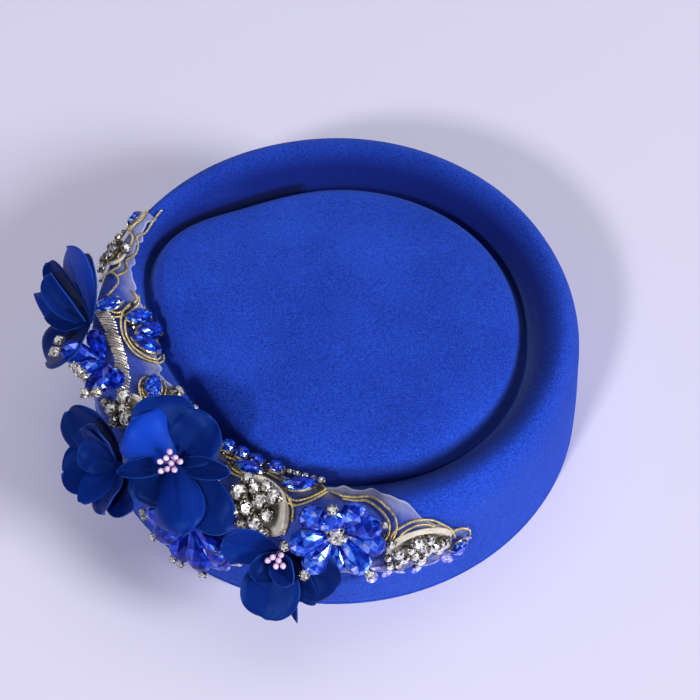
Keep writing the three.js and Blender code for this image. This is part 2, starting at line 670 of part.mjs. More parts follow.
// ---- the pieces, in the order in which later ones give way to earlier ones ------------------
const pieces = [
  { name: "felt_hat", finish: "felt", make: feltShell },
  { name: "organza_ground", finish: "organza", make: organzaGround },
  ...cords.map((cord) => ({
    name: cord.name,
    finish: cord.name === "purl_band" ? "purl" : "gold",
    make: (grow) => laidCord(cord, grow),
  })),
  ...pads.map((pad) => ({ name: pad.name, finish: "pad", make: (grow) => ovalPad(pad, grow) })),
  ...clusters.map((cluster) => ({
    name: cluster.name,
    finish: "rhinestone",
    make: (grow) => stoneCluster(cluster, grow),
  })),
  ...stones.map((stone) => ({
    name: stone.name,
    finish: "blueStone",
    make: (grow) => cutStone(stone, grow),
  })),
  ...beadFlowers.flatMap((flower) => [
    ...flower.drops.map((drop, i) => ({
      name: `${flower.name}_drop_${i + 1}`,
      finish: "blueDrop",
      make: (grow) => dropBead({
        ...drop, flower, start: flower.start, length: dropLength * drop.size, width: dropWidth * drop.size,
      }, grow),
    })),
    ...(flower.crystal ? [{
      name: `${flower.name}_crystal`,
      finish: "rhinestone",
      make: (grow) => cutStone({
        ...flower, long: flower.crystal, wide: flower.crystal, high: crystalHeight, lift: 0,
      }, grow),
    }] : []),
  ]),
  ...flowers.flatMap((flower) => [
    ...(flower.stamens ? [{
      name: `${flower.name}_stamens`,
      finish: "stamen",
      make: (grow) => stamens(flower, stamenLift, flower.stamens, grow),
    }] : []),
    {
      name: `${flower.name}_inner`,
      finish: "petal",
      make: (grow) => petalLayer(flower, flower.inner, innerLayerLift, grow),
    },
    {
      name: `${flower.name}_outer`,
      finish: "petal",
      make: (grow) => petalLayer(flower, flower.outer, 0, grow),
    },
  ]),
];

// ---- assembly ------------------------------------------------------------------------------
// A sewn piece is trimmed where it would press into the felt or into a piece before it.
const clearOfFelt = toSolid(hatMass(organzaHeight + organzaThickness + gap));

const grounds = ["felt_hat", "organza_ground"];

function boxesMeet(a, b) {
  return [0, 1, 2].every((i) => a.min[i] < b.max[i] + gap && b.min[i] < a.max[i] + gap);
}

function largest(solid) {
  return solid.decompose().reduce((best, part) => (part.volume() > best.volume() ? part : best));
}

const built = [];
for (const { name, finish, make } of pieces) {
  let solid = toSolid(make(0));
  if (name === "organza_ground") solid = solid.subtract(toSolid(hatMass(organzaClearance)));
  if (!grounds.includes(name)) {
    solid = solid.subtract(clearOfFelt);
    built.filter((other) => !grounds.includes(other.name))
      .filter((other) => boxesMeet(solid.boundingBox(), other.box))
      .forEach((other) => {
        solid = solid.subtract(other.grown);
      });
    solid = largest(solid);
  }
  const grown = name === "felt_hat" ? solid : toSolid(make(gap));
  built.push({ name, finish, solid, grown, box: grown.boundingBox() });
}

const hat = new THREE.Group();
for (const { name, finish, solid } of built) {
  const mesh = new THREE.Mesh(toGeometry(solid), new THREE.MeshStandardMaterial(finishes[finish]));
  mesh.name = name;
  hat.add(mesh);
}

// The origin is the middle of the whole hat's footprint, at its lowest point.
const whole = new THREE.Box3().setFromObject(hat);
hat.position.set(-(whole.min.x + whole.max.x) / 2, -(whole.min.y + whole.max.y) / 2, -whole.min.z);

const group = new THREE.Group();
group.add(hat);

export default group;
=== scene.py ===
# Felt pillbox hat with a beaded applique of leatherette flowers, drop beads, foiled stones,
# claw-set rhinestones and metal-thread edging on an organza ground.
import math
import bmesh
import bpy
import numpy as np
from mathutils import Matrix, Vector


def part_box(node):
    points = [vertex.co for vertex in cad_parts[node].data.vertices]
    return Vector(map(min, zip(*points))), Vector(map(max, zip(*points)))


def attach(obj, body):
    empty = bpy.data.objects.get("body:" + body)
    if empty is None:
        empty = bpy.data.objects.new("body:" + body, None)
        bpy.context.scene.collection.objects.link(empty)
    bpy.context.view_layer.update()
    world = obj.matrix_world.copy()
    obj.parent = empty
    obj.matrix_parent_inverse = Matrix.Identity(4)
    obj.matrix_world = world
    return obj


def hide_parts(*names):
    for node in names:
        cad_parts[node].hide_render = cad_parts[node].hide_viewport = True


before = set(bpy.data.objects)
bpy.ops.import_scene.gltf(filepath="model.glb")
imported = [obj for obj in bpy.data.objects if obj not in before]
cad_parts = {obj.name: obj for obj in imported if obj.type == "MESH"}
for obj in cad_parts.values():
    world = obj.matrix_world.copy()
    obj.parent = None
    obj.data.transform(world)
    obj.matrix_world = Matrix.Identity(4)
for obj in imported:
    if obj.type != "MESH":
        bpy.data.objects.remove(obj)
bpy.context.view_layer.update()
millimetre = 0.001
feltLow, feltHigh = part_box("felt_hat")
hatCentre = np.array([(feltLow.x + feltHigh.x) / 2, (feltLow.y + feltHigh.y) / 2, feltLow.z])
print("frame loaded:", len(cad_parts), "nodes")

# places in millimetres about the middle of the felt's base
cameraSetup = {
    "stands": (0, -442.7, 666.3),
    "looksAt": (6.1, 13.9, 9.2),
    "lens": 100,
    "sensor": 36,
}


def stood(name, data, stands, looksAt):
    stands, looksAt = (Vector(np.array(point) * millimetre + hatCentre) for point in (stands, looksAt))
    item = bpy.data.objects.new(name, data)
    bpy.context.collection.objects.link(item)
    item.location = stands
    item.rotation_euler = (looksAt - stands).to_track_quat("-Z", "Y").to_euler()
    return item


cameraData = bpy.data.cameras.new("camera")
cameraData.lens = cameraSetup["lens"]
cameraData.sensor_width = cameraSetup["sensor"]
cameraData.clip_start = 0.01
bpy.context.scene.camera = stood("camera", cameraData, cameraSetup["stands"], cameraSetup["looksAt"])


class Wire:
    # one output of a node; arithmetic on it adds Math nodes
    def __init__(self, tree, socket=None):
        self.tree = tree
        self.socket = socket

    def node(self, kind, settings=None, inputs=None, output=0):
        made = self.tree.nodes.new(kind)
        for name, value in (settings or {}).items():
            if name == "stops":
                setStops(made.color_ramp, value)
            else:
                setattr(made, name, value)
        for name, value in (inputs or {}).items():
            if isinstance(value, Wire):
                self.tree.links.new(value.socket, made.inputs[name])
            else:
                made.inputs[name].default_value = value
        return Wire(self.tree, made.outputs[output])

    def maths(self, operation, a, b=0.0, clamp=False):
        return self.node("ShaderNodeMath", {"operation": operation, "use_clamp": clamp}, {0: a, 1: b})

    def __add__(self, other):
        return self.maths("ADD", self, other)

    __radd__ = __add__

    def __sub__(self, other):
        return self.maths("SUBTRACT", self, other)

    def __rsub__(self, other):
        return self.maths("SUBTRACT", other, self)

    def __mul__(self, other):
        return self.maths("MULTIPLY", self, other)

    __rmul__ = __mul__

    def __truediv__(self, other):
        return self.maths("DIVIDE", self, other)

    def clamped(self):
        return self.maths("ADD", self, 0.0, clamp=True)

    def between(self, low, high):
        inputs = {"Value": self, "From Min": low, "From Max": high}
        return self.node("ShaderNodeMapRange", {"interpolation_type": "SMOOTHSTEP"}, inputs)

    def ramp(self, *stops):
        return self.node("ShaderNodeValToRGB", {"stops": stops}, {0: self})

    def blend(self, low, high):
        # colours by this value: low at 0, high at 1
        return self.node("ShaderNodeMix", {"data_type": "RGBA"}, {0: self, 6: low, 7: high}, output=2)

    def vector(self, operation, other, socket=1):
        # socket 1 takes another vector, and "Scale" a number
        return self.node("ShaderNodeVectorMath", {"operation": operation}, {0: self, socket: other})


def colour(r, g, b):
    return (r, g, b, 1.0)


def setStops(ramp, stops):
    # stops: position, red, green and blue
    while len(ramp.elements) < len(stops):
        ramp.elements.new(1.0)
    for element, (position, *shade) in zip(ramp.elements, stops):
        element.position = position
        element.color = colour(*shade)


def finish(name, look, constants):
    # look writes the shader's varying inputs, and the constants are set on it directly
    material = bpy.data.materials.new(name)
    material.use_nodes = True
    tree = material.node_tree
    tree.nodes.clear()
    out = tree.nodes.new("ShaderNodeOutputMaterial")
    shader = tree.nodes.new("ShaderNodeBsdfPrincipled")
    tree.links.new(shader.outputs[0], out.inputs[0])
    for socket, value in constants.items():
        shader.inputs[socket].default_value = value
    for socket, wire in look(Wire(tree)).items():
        tree.links.new(wire.socket, shader.inputs[socket])
    return material


def objectPlace(w):
    return w.node("ShaderNodeTexCoord", output=3)


def noise(w, scale, detail=2.0, roughness=0.5):
    inputs = {"Vector": objectPlace(w), "Scale": scale, "Detail": detail, "Roughness": roughness}
    return w.node("ShaderNodeTexNoise", None, inputs)


def bump(w, height, distance, strength):
    inputs = {"Strength": strength, "Distance": distance, "Height": height}
    return w.node("ShaderNodeBump", None, inputs)


def attribute(w, name):
    return w.node("ShaderNodeAttribute", {"attribute_name": name}, output=2)


def threads(w, direction, scale, distortion, detail):
    along = w.node("ShaderNodeUVMap", {"uv_map": "weave"})
    settings = {"wave_type": "BANDS", "bands_direction": direction}
    inputs = {"Vector": along, "Scale": scale, "Distortion": distortion, "Detail": detail}
    return w.node("ShaderNodeTexWave", settings, inputs, output=1)


creaseShadeStrength = 0.92      # how dark the painted shade in the crease is; only the painted shade at its back left goes beyond


def feltLook(w):
    fibre = noise(w, 2600, 3.0, 0.7)
    fleck = noise(w, 1450, 2.0, 0.65)
    cloud = noise(w, 28)
    tone = (fibre * 0.4 + fleck * 0.7 + cloud * 0.2).between(0.45, 0.86)
    shade = tone.blend(colour(0.004, 0.021, 0.26), colour(0.020, 0.085, 0.66))
    nap = noise(w, 900, 4.0, 0.75) + fibre * 0.6
    # painted shade: the crease is darkened, and its back left is painted near black
    pressed = attribute(w, "pressed")
    shade = pressed.blend(shade, colour(0.002, 0.008, 0.125))
    deepest = ((pressed - creaseShadeStrength) * 12).clamped()
    shade = deepest.blend(shade, colour(0.0008, 0.003, 0.045))
    return {"Base Color": shade, "Normal": bump(w, nap, 0.0006, 0.7)}


def petalLook(w):
    mottle = noise(w, 90)
    grain = noise(w, 1400, 3.0, 0.6)
    # painted light and shade from each petal's painted brightness, varied by mottle and grain
    shade = attribute(w, "dye") * (0.75 + (mottle * 0.85 + grain * 0.15) * 0.5)
    body = shade.clamped().blend(colour(0.0005, 0.004, 0.05), colour(0.006, 0.044, 0.44))
    edged = (attribute(w, "rim") * (grain * 0.4 + 0.25)).clamped().blend(body, colour(0.015, 0.09, 0.5))
    return {
        "Base Color": edged,
        "Roughness": 0.36 + mottle * 0.12,
        "Normal": bump(w, grain + mottle * 0.4, 0.0002, 0.3),
    }


def organzaLook(w):
    weave = w.maths("MAXIMUM", *(threads(w, direction, 0.55, 0.6, 1.0) for direction in ("X", "Y")))
    mist = noise(w, 160)
    hem = attribute(w, "rim")
    veil = 0.06 + (weave * 0.16 + mist * 0.12 + 0.12) * attribute(w, "margin") + hem * 0.26
    tone = (hem * 0.7 + mist * 0.3).clamped()
    return {
        "Base Color": tone.blend(colour(0.42, 0.43, 0.56), colour(0.66, 0.68, 0.84)),
        "Alpha": veil.clamped(),
        "Normal": bump(w, weave, 0.0001, 0.3),
    }


def satinLook(w):
    # fine threads across the ridge, and a near-black middle under the stones, painted shade between them
    stitch = threads(w, "X", 0.9, 1.2, 2.0)
    tone = (stitch * 0.5 + noise(w, 240, 3.0) * 0.6).between(0.2, 0.85)
    satin = tone.blend(colour(0.40, 0.36, 0.30), colour(0.86, 0.80, 0.70))
    return {
        # painted shade: where not stitched, the pad is painted near black
        "Base Color": attribute(w, "stitched").blend(colour(0.035, 0.030, 0.026), satin),
        "Roughness": 0.62 - stitch * 0.2,
        "Normal": bump(w, stitch, 0.0002, 0.6),
    }


def metalThread(dark, light, roughness):
    def look(w):
        glint = noise(w, 1100, 2.0, 0.7)
        tone = (glint * 0.7 + noise(w, 150) * 0.4).between(0.3, 0.8)
        return {
            "Base Color": tone.blend(dark, light),
            "Roughness": roughness + glint * 0.2,
            "Normal": bump(w, glint, 0.0001, 0.4),
        }

    return look


def paintedFacetGlint(w, fineness):
    # painted reflections: each of the facets is painted its own brightness, and smaller painted patches
    # stand in for the foil's reflections behind them
    inputs = {"Vector": objectPlace(w), "Scale": fineness}
    patches = w.node("ShaderNodeTexVoronoi", {"feature": "F1"}, inputs, output=1)
    split = w.node("ShaderNodeSeparateColor", None, {0: patches})
    return (attribute(w, "facet") * 0.62 + split * 0.38).clamped()


def cutGlass(fineness, roughness, spread, *stops):
    def look(w):
        value = paintedFacetGlint(w, fineness)
        return {"Base Color": value.ramp(*stops), "Roughness": roughness + value * spread}

    return look


# the ramps run from painted dark facets to painted white glints
blueStoneLook = cutGlass(
    900, 0.06, 0.1,
    (0.0, 0.001, 0.002, 0.03), (0.34, 0.002, 0.010, 0.20), (0.57, 0.006, 0.04, 0.64),
    (0.74, 0.02, 0.11, 0.95), (0.86, 0.12, 0.48, 1.0), (0.95, 0.6, 0.9, 1.0),
)
crystalLook = cutGlass(
    1300, 0.05, 0.08,
    (0.0, 0.006, 0.006, 0.008), (0.32, 0.035, 0.032, 0.030), (0.48, 0.24, 0.23, 0.22),
    (0.64, 0.70, 0.68, 0.64), (0.8, 1.0, 1.0, 1.0),
)


def dropLook(w):
    value = paintedFacetGlint(w, 420)
    # painted glints: deep and pale ramps from dark facets to white
    deep = value.ramp(
        (0.0, 0.001, 0.002, 0.05), (0.30, 0.001, 0.008, 0.22), (0.58, 0.003, 0.028, 0.62),
        (0.78, 0.014, 0.11, 0.95), (0.90, 0.15, 0.48, 1.0), (0.98, 0.75, 0.92, 1.0),
    )
    pale = value.ramp(
        (0.0, 0.001, 0.004, 0.14), (0.25, 0.004, 0.03, 0.50), (0.48, 0.02, 0.12, 0.88),
        (0.62, 0.10, 0.32, 1.0), (0.76, 0.40, 0.50, 1.0), (0.84, 0.85, 0.50, 0.86),
        (0.89, 0.36, 0.80, 1.0), (0.96, 1.0, 1.0, 1.0),
    )
    return {"Base Color": attribute(w, "tone").blend(deep, pale), "Roughness": 0.05 + value * 0.08}


def stamenLook(w):
    drift = noise(w, 500, 3.0).between(0.3, 0.7)
    return {
        "Base Color": drift.blend(colour(0.52, 0.33, 0.62), colour(0.86, 0.66, 0.86)),
        "Normal": bump(w, noise(w, 2600), 0.0001, 0.4),
    }


def sequinLook(w):
    # painted glints on the sequin's facets
    value = (attribute(w, "facet") * 0.5 + noise(w, 420) * 0.5).clamped()
    body = value.ramp(
        (0.2, 0.10, 0.12, 0.72), (0.45, 0.42, 0.40, 0.95), (0.62, 0.72, 0.62, 0.98),
        (0.8, 0.45, 0.75, 1.0),
    )
    return {"Base Color": body, "Roughness": 0.12 + value * 0.1}


finishTable = [    # key, name, varying look, constants
    ("felt", "wool felt", feltLook, {
        "Roughness": 0.95, "Specular IOR Level": 0.12, "Sheen Weight": 0.22, "Sheen Roughness": 0.45,
        "Sheen Tint": colour(0.25, 0.45, 1.0),
    }),
    ("petal", "leatherette", petalLook,
     {"Specular IOR Level": 0.18, "Specular Tint": colour(0.15, 0.4, 1.0)}),
    ("organza", "organza", organzaLook, {"Roughness": 0.42, "Sheen Weight": 0.3}),
    ("pad", "cream satin stitch", satinLook, {"Specular IOR Level": 0.45, "Sheen Weight": 0.3}),
    ("purl", "silver purl",
     metalThread(colour(0.30, 0.26, 0.20), colour(0.95, 0.90, 0.80), 0.25), {"Metallic": 0.85}),
    ("gold", "gold thread",
     metalThread(colour(0.26, 0.18, 0.05), colour(0.98, 0.84, 0.42), 0.22), {"Metallic": 0.85}),
    ("setting", "old brass",
     metalThread(colour(0.08, 0.06, 0.04), colour(0.62, 0.54, 0.42), 0.2), {"Metallic": 0.85}),
    ("blueStone", "foiled blue glass", blueStoneLook,
     {"Metallic": 0.3, "Coat Weight": 0.7, "Coat Roughness": 0.03, "Coat IOR": 1.5}),
    ("drop", "coated blue glass", dropLook, {
        "Metallic": 0.45, "Specular IOR Level": 0.3, "Coat Weight": 0.2, "Coat Roughness": 0.03,
        "Coat IOR": 1.45,
    }),
    ("crystal", "clear crystal", crystalLook,
     {"Metallic": 0.4, "Coat Weight": 0.8, "Coat Roughness": 0.03, "Coat IOR": 1.6}),
    ("stamen", "stamen paste", stamenLook, {"Roughness": 0.38}),
    ("sequin", "lustre sequin", sequinLook,
     {"Metallic": 0.4, "Coat Weight": 0.8, "Coat Roughness": 0.05}),
]
finishes = {key: finish(name, look, constants) for key, name, look, constants in finishTable}
finishes["organza"].surface_render_method = "BLENDED"
print("materials ready:", len(finishes))

# Profile from the brim edge, up the wall, over the rolled rim, into the crease and onto
# the dished tip. wall: offset from wallRadius, rim: share of the way from wall to tip,
# tip: offset from the tip's radius, share: share of the tip's radius.
hatShape = {
    "wallRadius": 95.0,
    "thickness": 2.5,
    "tipRadius": [73.2, 72.9, 71.0, 69.9, 70.5, 80.3, 67.5, 60.4, 65.0, 67.4, 70.9, 73.2],
    "stations": [
        ("wall", 3.0, 0), ("wall", 2.6, 14), ("wall", 1.6, 30), ("wall", 0.6, 43),
        ("wall", -2.2, 50.8), ("rim", 0.2, 53.6), ("rim", 0.42, 52.8), ("rim", 0.68, 49.6),
        ("rim", 0.88, 44.6), ("tip", 2.3, 39.4), ("tip", -0.4, 43.4), ("tip", -2.8, 48.0),
        ("tip", -10, 50.6), ("share", 0.5, 52.8), ("share", 0.0, 54),
    ],
    "rimFrom": -2.4,      # of the wall's radius
    "rimTo": 2.2,         # of the tip's radius
    "crest": 6,           # station from which reach is counted
}
lastStation = len(hatShape["stations"]) - 1


def clamped(values):
    return np.clip(values, 0, 1)


def smooth(p0, p1, p2, p3, t):
    return 0.5 * (2 * p1 + (p2 - p0) * t + (2 * p0 - 5 * p1 + 4 * p2 - p3) * t ** 2
                  + (3 * p1 - p0 - 3 * p2 + p3) * t ** 3)


def tipRadiusAt(angles):
    radii = np.array(hatShape["tipRadius"])
    where = (angles % 360) / 360 * len(radii)
    i = np.floor(where).astype(int)
    return smooth(*(radii[(i + k) % len(radii)] for k in (-1, 0, 1, 2)), where - i)


def profile(angles, stops):
    # radius and height, one row for each angle and one column for each stop
    tip = tipRadiusAt(angles)
    wall = hatShape["wallRadius"]
    start, end = wall + hatShape["rimFrom"], tip + hatShape["rimTo"]
    radiusOf = {
        "wall": lambda at: wall + at + tip * 0,
        "tip": lambda at: tip + at,
        "share": lambda at: tip * at,
        "rim": lambda at: start + (end - start) * at,
    }
    radii = np.stack([radiusOf[kind](at) for kind, at, z in hatShape["stations"]])
    heights = np.array([z for kind, at, z in hatShape["stations"]], float)
    i = np.clip(np.floor(stops).astype(int), 0, lastStation - 1)
    near = [np.clip(i + k, 0, lastStation) for k in (-1, 0, 1, 2)]
    radius = smooth(*(radii[n] for n in near), (stops - i)[:, None]).T
    height = smooth(*(heights[n] for n in near), stops - i)
    return radius, np.broadcast_to(height, radius.shape)


def profileWithNormals(angles, stops):
    radius, height = profile(angles, stops)
    step = 0.02
    before = profile(angles, np.maximum(stops - step, 0))
    after = profile(angles, np.minimum(stops + step, lastStation))
    alongR, alongZ = after[0] - before[0], after[1] - before[1]
    length = np.hypot(alongR, alongZ)
    return radius, height, alongZ / length, -alongR / length


# The surface again, laid out by reach: the distance along the felt from the rim's crest,
# positive down the wall.
reachStep = 0.25
reachGrid = np.arange(-84, 58 + reachStep, reachStep)


def layOutByReach():
    fineness = 32      # stops to each station
    stops = np.linspace(0, lastStation, lastStation * fineness + 1)
    layers = profileWithNormals(np.arange(360.0), stops)
    steps = np.hypot(np.diff(layers[0]), np.diff(layers[1]))
    length = np.hstack([np.zeros((360, 1)), np.cumsum(steps, axis=1)])
    reach = length[:, [hatShape["crest"] * fineness]] - length
    rows = [[np.interp(reachGrid, r[::-1], v[::-1]) for r, v in zip(reach, layer)] for layer in layers]
    return np.array(rows)


surface = layOutByReach()


def onHat(angle, reach, height=0.0):
    angle, reach, height = np.broadcast_arrays(*(np.asarray(v, float) for v in (angle, reach, height)))
    a = angle % 360
    i = np.floor(a).astype(int) % 360
    s = (np.clip(reach, reachGrid[0], reachGrid[-1] - 0.01) - reachGrid[0]) / reachStep
    j = np.floor(s).astype(int)
    fa, fs = a - np.floor(a), s - j
    corners = [surface[:, (i + k) % 360, j + m] for k in (0, 1) for m in (0, 1)]
    r, z, nr, nz = ((1 - fa) * ((1 - fs) * corners[0] + fs * corners[1])
                    + fa * ((1 - fs) * corners[2] + fs * corners[3]))
    out = r + nr * height
    turn = np.radians(angle)
    return np.stack([out * np.cos(turn), out * np.sin(turn), z + nz * height], axis=-1)


def unit(v):
    return v / np.linalg.norm(v)


def frameOn(angle, reach, height, turn=0.0):
    # a frame that stands on the hat: origin, u, v and the felt's normal
    origin = onHat(angle, reach, height)
    normal = unit(onHat(angle, reach, height + 1) - origin)
    a, t = math.radians(angle), math.radians(turn)
    side = np.array([-math.sin(a), math.cos(a), 0])
    down = -unit(np.cross(normal, side))
    u = side * math.cos(t) + down * math.sin(t)
    return origin, u, unit(np.cross(normal, u)), normal


def leaning(origin, u, lean):
    # a frame whose normal leans another way
    lean = unit(lean)
    u = unit(u - lean * (u @ lean))
    return origin, u, np.cross(lean, u), lean


def chart(angle, reach, turn):
    # wraps flat patterns onto the hat: u towards growing angle, v down the wall
    middle = onHat(angle, reach)
    radius = math.hypot(middle[0], middle[1])
    c, s = math.cos(math.radians(turn)), math.sin(math.radians(turn))

    def place(u, v):
        return angle + np.degrees((u * c - v * s) / radius), reach + (u * s + v * c)

    return place


def curveThrough(points, step=0.4):
    # a smooth line through [angle, reach] points, resampled about a step apart
    p = np.array(points, float)
    p = np.vstack([2 * p[0] - p[1], p, 2 * p[-1] - p[-2]])
    t = np.linspace(0, 1, 24, endpoint=False)[:, None]
    line = np.vstack([smooth(*p[i:i + 4], t) for i in range(len(p) - 3)] + [p[-2:-1]])
    world = onHat(line[:, 0], line[:, 1])
    length = np.concatenate([[0], np.cumsum(np.linalg.norm(np.diff(world, axis=0), axis=1))])
    even = np.linspace(0, length[-1], max(4, int(length[-1] / step)))
    return np.stack([np.interp(even, length, line[:, k]) for k in (0, 1)], axis=-1)


def faceOutward(mesh):
    shape = bmesh.new()
    shape.from_mesh(mesh)
    bmesh.ops.recalc_face_normals(shape, faces=shape.faces)
    shape.to_mesh(mesh)
    shape.free()


def newPiece(name, points, faces, material, slot, isSmooth=True, isClosed=True, edges=()):
    mesh = bpy.data.meshes.new(name)
    inFrame = np.asarray(points) * millimetre + hatCentre
    mesh.from_pydata(inFrame.tolist(), list(edges), [tuple(int(i) for i in face) for face in faces])
    if isClosed:
        faceOutward(mesh)
    mesh.update()
    if faces:
        mesh.polygons.foreach_set("use_smooth", [isSmooth] * len(mesh.polygons))
    piece = bpy.data.objects.new(name, mesh)
    bpy.context.collection.objects.link(piece)
    if material:
        mesh.materials.append(finishes[material])
    if slot:
        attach(piece, "root")
    return piece


def unitPiece(name, points, faces, material, isSmooth=False):
    # about the scene's origin, to be set many times
    return newPiece(name, points - hatCentre / millimetre, faces, material, None, isSmooth)


def storeValues(piece, name, values, domain="POINT"):
    layer = piece.data.attributes.new(name, "FLOAT", domain)
    layer.data.foreach_set("value", np.asarray(values, float))


def storeUv(piece, name, uv):
    # uv: one pair for each vertex
    layer = piece.data.uv_layers.new(name=name)
    corners = np.empty(len(piece.data.loops), int)
    piece.data.loops.foreach_get("vertex_index", corners)
    layer.data.foreach_set("uv", np.asarray(uv, float)[corners].ravel())


def gridFaces(rows, columns, closed=False, looped=False):
    # closed: each row is a ring; looped: the last row joins the first
    faces = []
    for i in range(rows if looped else rows - 1):
        near, far = i * columns, (i + 1) % rows * columns
        for j in range(columns if closed else columns - 1):
            k = (j + 1) % columns
            faces.append((near + j, near + k, far + k, far + j))
    return faces


def capEnds(faces, count, total):
    # fans from the first and last of the rings to the two points that follow them
    last = total - 2 - count
    for j in range(count):
        k = (j + 1) % count
        faces.append((k, j, total - 2))
        faces.append((last + j, last + k, total - 1))


def joined(parts):
    # parts given as (points, faces, values), in one set
    points, faces, values = [], [], []
    for partPoints, partFaces, partValues in parts:
        shift = sum(len(p) for p in points)
        points.append(np.asarray(partPoints))
        faces.extend([tuple(i + shift for i in face) for face in partFaces])
        values.extend(partValues)
    return np.vstack(points), faces, values


def lathed(rings, sides):
    # rings of (radius, height) about z
    turn = np.arange(sides) * 2 * math.pi / sides
    return np.vstack([np.stack([r * np.cos(turn), r * np.sin(turn), np.full(sides, z)], axis=-1)
                      for r, z in rings])


def tube(path, radii, sides):
    # a small tapered bar through a few points
    path = np.asarray(path, float)
    points = []
    for i, centre in enumerate(path):
        ahead = unit(path[min(i + 1, len(path) - 1)] - path[max(i - 1, 0)])
        side = unit(np.cross(ahead, [0.31, 0.95, 0.05]))      # no bar runs along this
        over = np.cross(ahead, side)
        turn = np.arange(sides)[:, None] * 2 * math.pi / sides
        points.append(centre + (np.cos(turn) * side + np.sin(turn) * over) * radii[i])
    points = np.vstack(points + [path[[0, -1]]])
    faces = gridFaces(len(path), sides, closed=True)
    capEnds(faces, sides, len(points))
    return points, faces, [0.5] * len(faces)


feltMake = {
    "around": 384,
    "outer": 112,
    "inner": 56,
    "ends": 13.9,        # station of the last ring, just short of the tip's middle
    "waves": ((3, 0.10, 0.4), (5, 0.07, 2.1), (9, 0.04, 1.3)),    # count, size, phase
    "lip": 0.9,          # the brim edge is rounded off by this much
    "bluntPoint": 175,   # direction in which the painted crease shade fades out
    "backLeft": 122,     # direction in which the painted crease shade is darkest
}


def feltRings(stops, height):
    angles = np.arange(feltMake["around"]) * 360 / feltMake["around"]
    radius, z, nr, nz = profileWithNormals(angles, stops)
    turn = np.radians(angles)
    wave = sum(size * np.sin(turn * count + phase) for count, size, phase in feltMake["waves"])
    off = height + wave[:, None] * clamped(stops / 2) * clamped((lastStation - stops) / 2)
    out = np.maximum(radius + nr * off, 0).T
    return np.stack([out * np.cos(turn), out * np.sin(turn), (z + nz * off).T], axis=-1)


def paintedCreaseShadeAt(points):
    # painted shade: the felt is darkened in the crease, most of all at its back left, where shade falls
    angle = np.degrees(np.arctan2(points[:, 1], points[:, 0]))
    radius = np.hypot(points[:, 0], points[:, 1])
    tip = tipRadiusAt(angle)
    share = (hatShape["wallRadius"] - radius) / (hatShape["wallRadius"] - tip)
    fromPoint = np.abs((angle - feltMake["bluntPoint"] + 180) % 360 - 180)
    broad = creaseShadeStrength * clamped(fromPoint / 50 - 0.2) * clamped((share - 0.2) / 0.45)
    fromBack = np.abs(angle - feltMake["backLeft"])
    backLeft = clamped(1.7 - fromBack / 30) * clamped((share - 0.42) / 0.40)
    return np.maximum(broad, backLeft) * clamped((1.09 - share) / 0.1)


def makeFelt():
    thick, lip = hatShape["thickness"], feltMake["lip"]
    # the crease and the rim bend fast, so they get the closest rings
    stops = np.linspace(0, 1, feltMake["outer"])
    outer = feltRings(feltMake["ends"] * (stops * 0.8 + 0.2 * stops ** 1.4), 0)
    inner = feltRings(feltMake["ends"] * np.linspace(0, 1, feltMake["inner"]), -thick)[::-1]
    edge = []
    for near, far, turns in ((inner[-1], outer[0], (0, 45, 90)), (outer[0], inner[-1], (90, 45, 0))):
        for turn in np.radians(turns):
            inset, up = (1 - math.sin(turn)) * lip / thick, lip * math.cos(turn)
            edge.append(near + (far - near) * inset + [0, 0, up])
    inner, outer = (rings[rings[:, 0, 2] > lip * 1.5] for rings in (inner, outer))
    rings = np.concatenate([inner, edge, outer])
    points = np.vstack([*rings, rings[0].mean(axis=0), rings[-1].mean(axis=0)])
    faces = gridFaces(len(rings), feltMake["around"], closed=True)
    capEnds(faces, feltMake["around"], len(points))
    felt = newPiece("felt_body", points, [face[::-1] for face in faces], "felt", "felt")
    # the painted crease shade, stored on the felt
    storeValues(felt, "pressed", paintedCreaseShadeAt(points))
    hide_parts("felt_hat")


makeFelt()
print("felt shell made")

# The sheer ground's edges, in degrees and millimetres of reach.
organzaMake = {
    "edges": [       # angle, inner reach, outer reach
        (146, 0, 4), (154, -1, 9), (162, -2, 11), (170, -5, 14), (178, -12, 18), (186, -13, 22),
        (194, -11, 25), (202, -9, 28), (210, -12, 30), (220, -11, 33), (230, -10, 38),
        (240, -12, 40), (250, -12, 40), (260, -7, 37), (270, -6, 36), (278, -4, 38), (284, 2, 39),
        (290, 12, 40), (296, 22, 40), (300, 26, 34),
    ],
    "height": 0.95,      # above the felt, where it is sewn down
    "free": 5.0,         # width of its loose edge
    "flare": 0.75,       # how far that stands off
    "ruffle": 0.275,
    "hem": 0.9,
    "margin": 4.5,       # width of the whiter margin
    "rows": 440,
    "columns": 60,
}


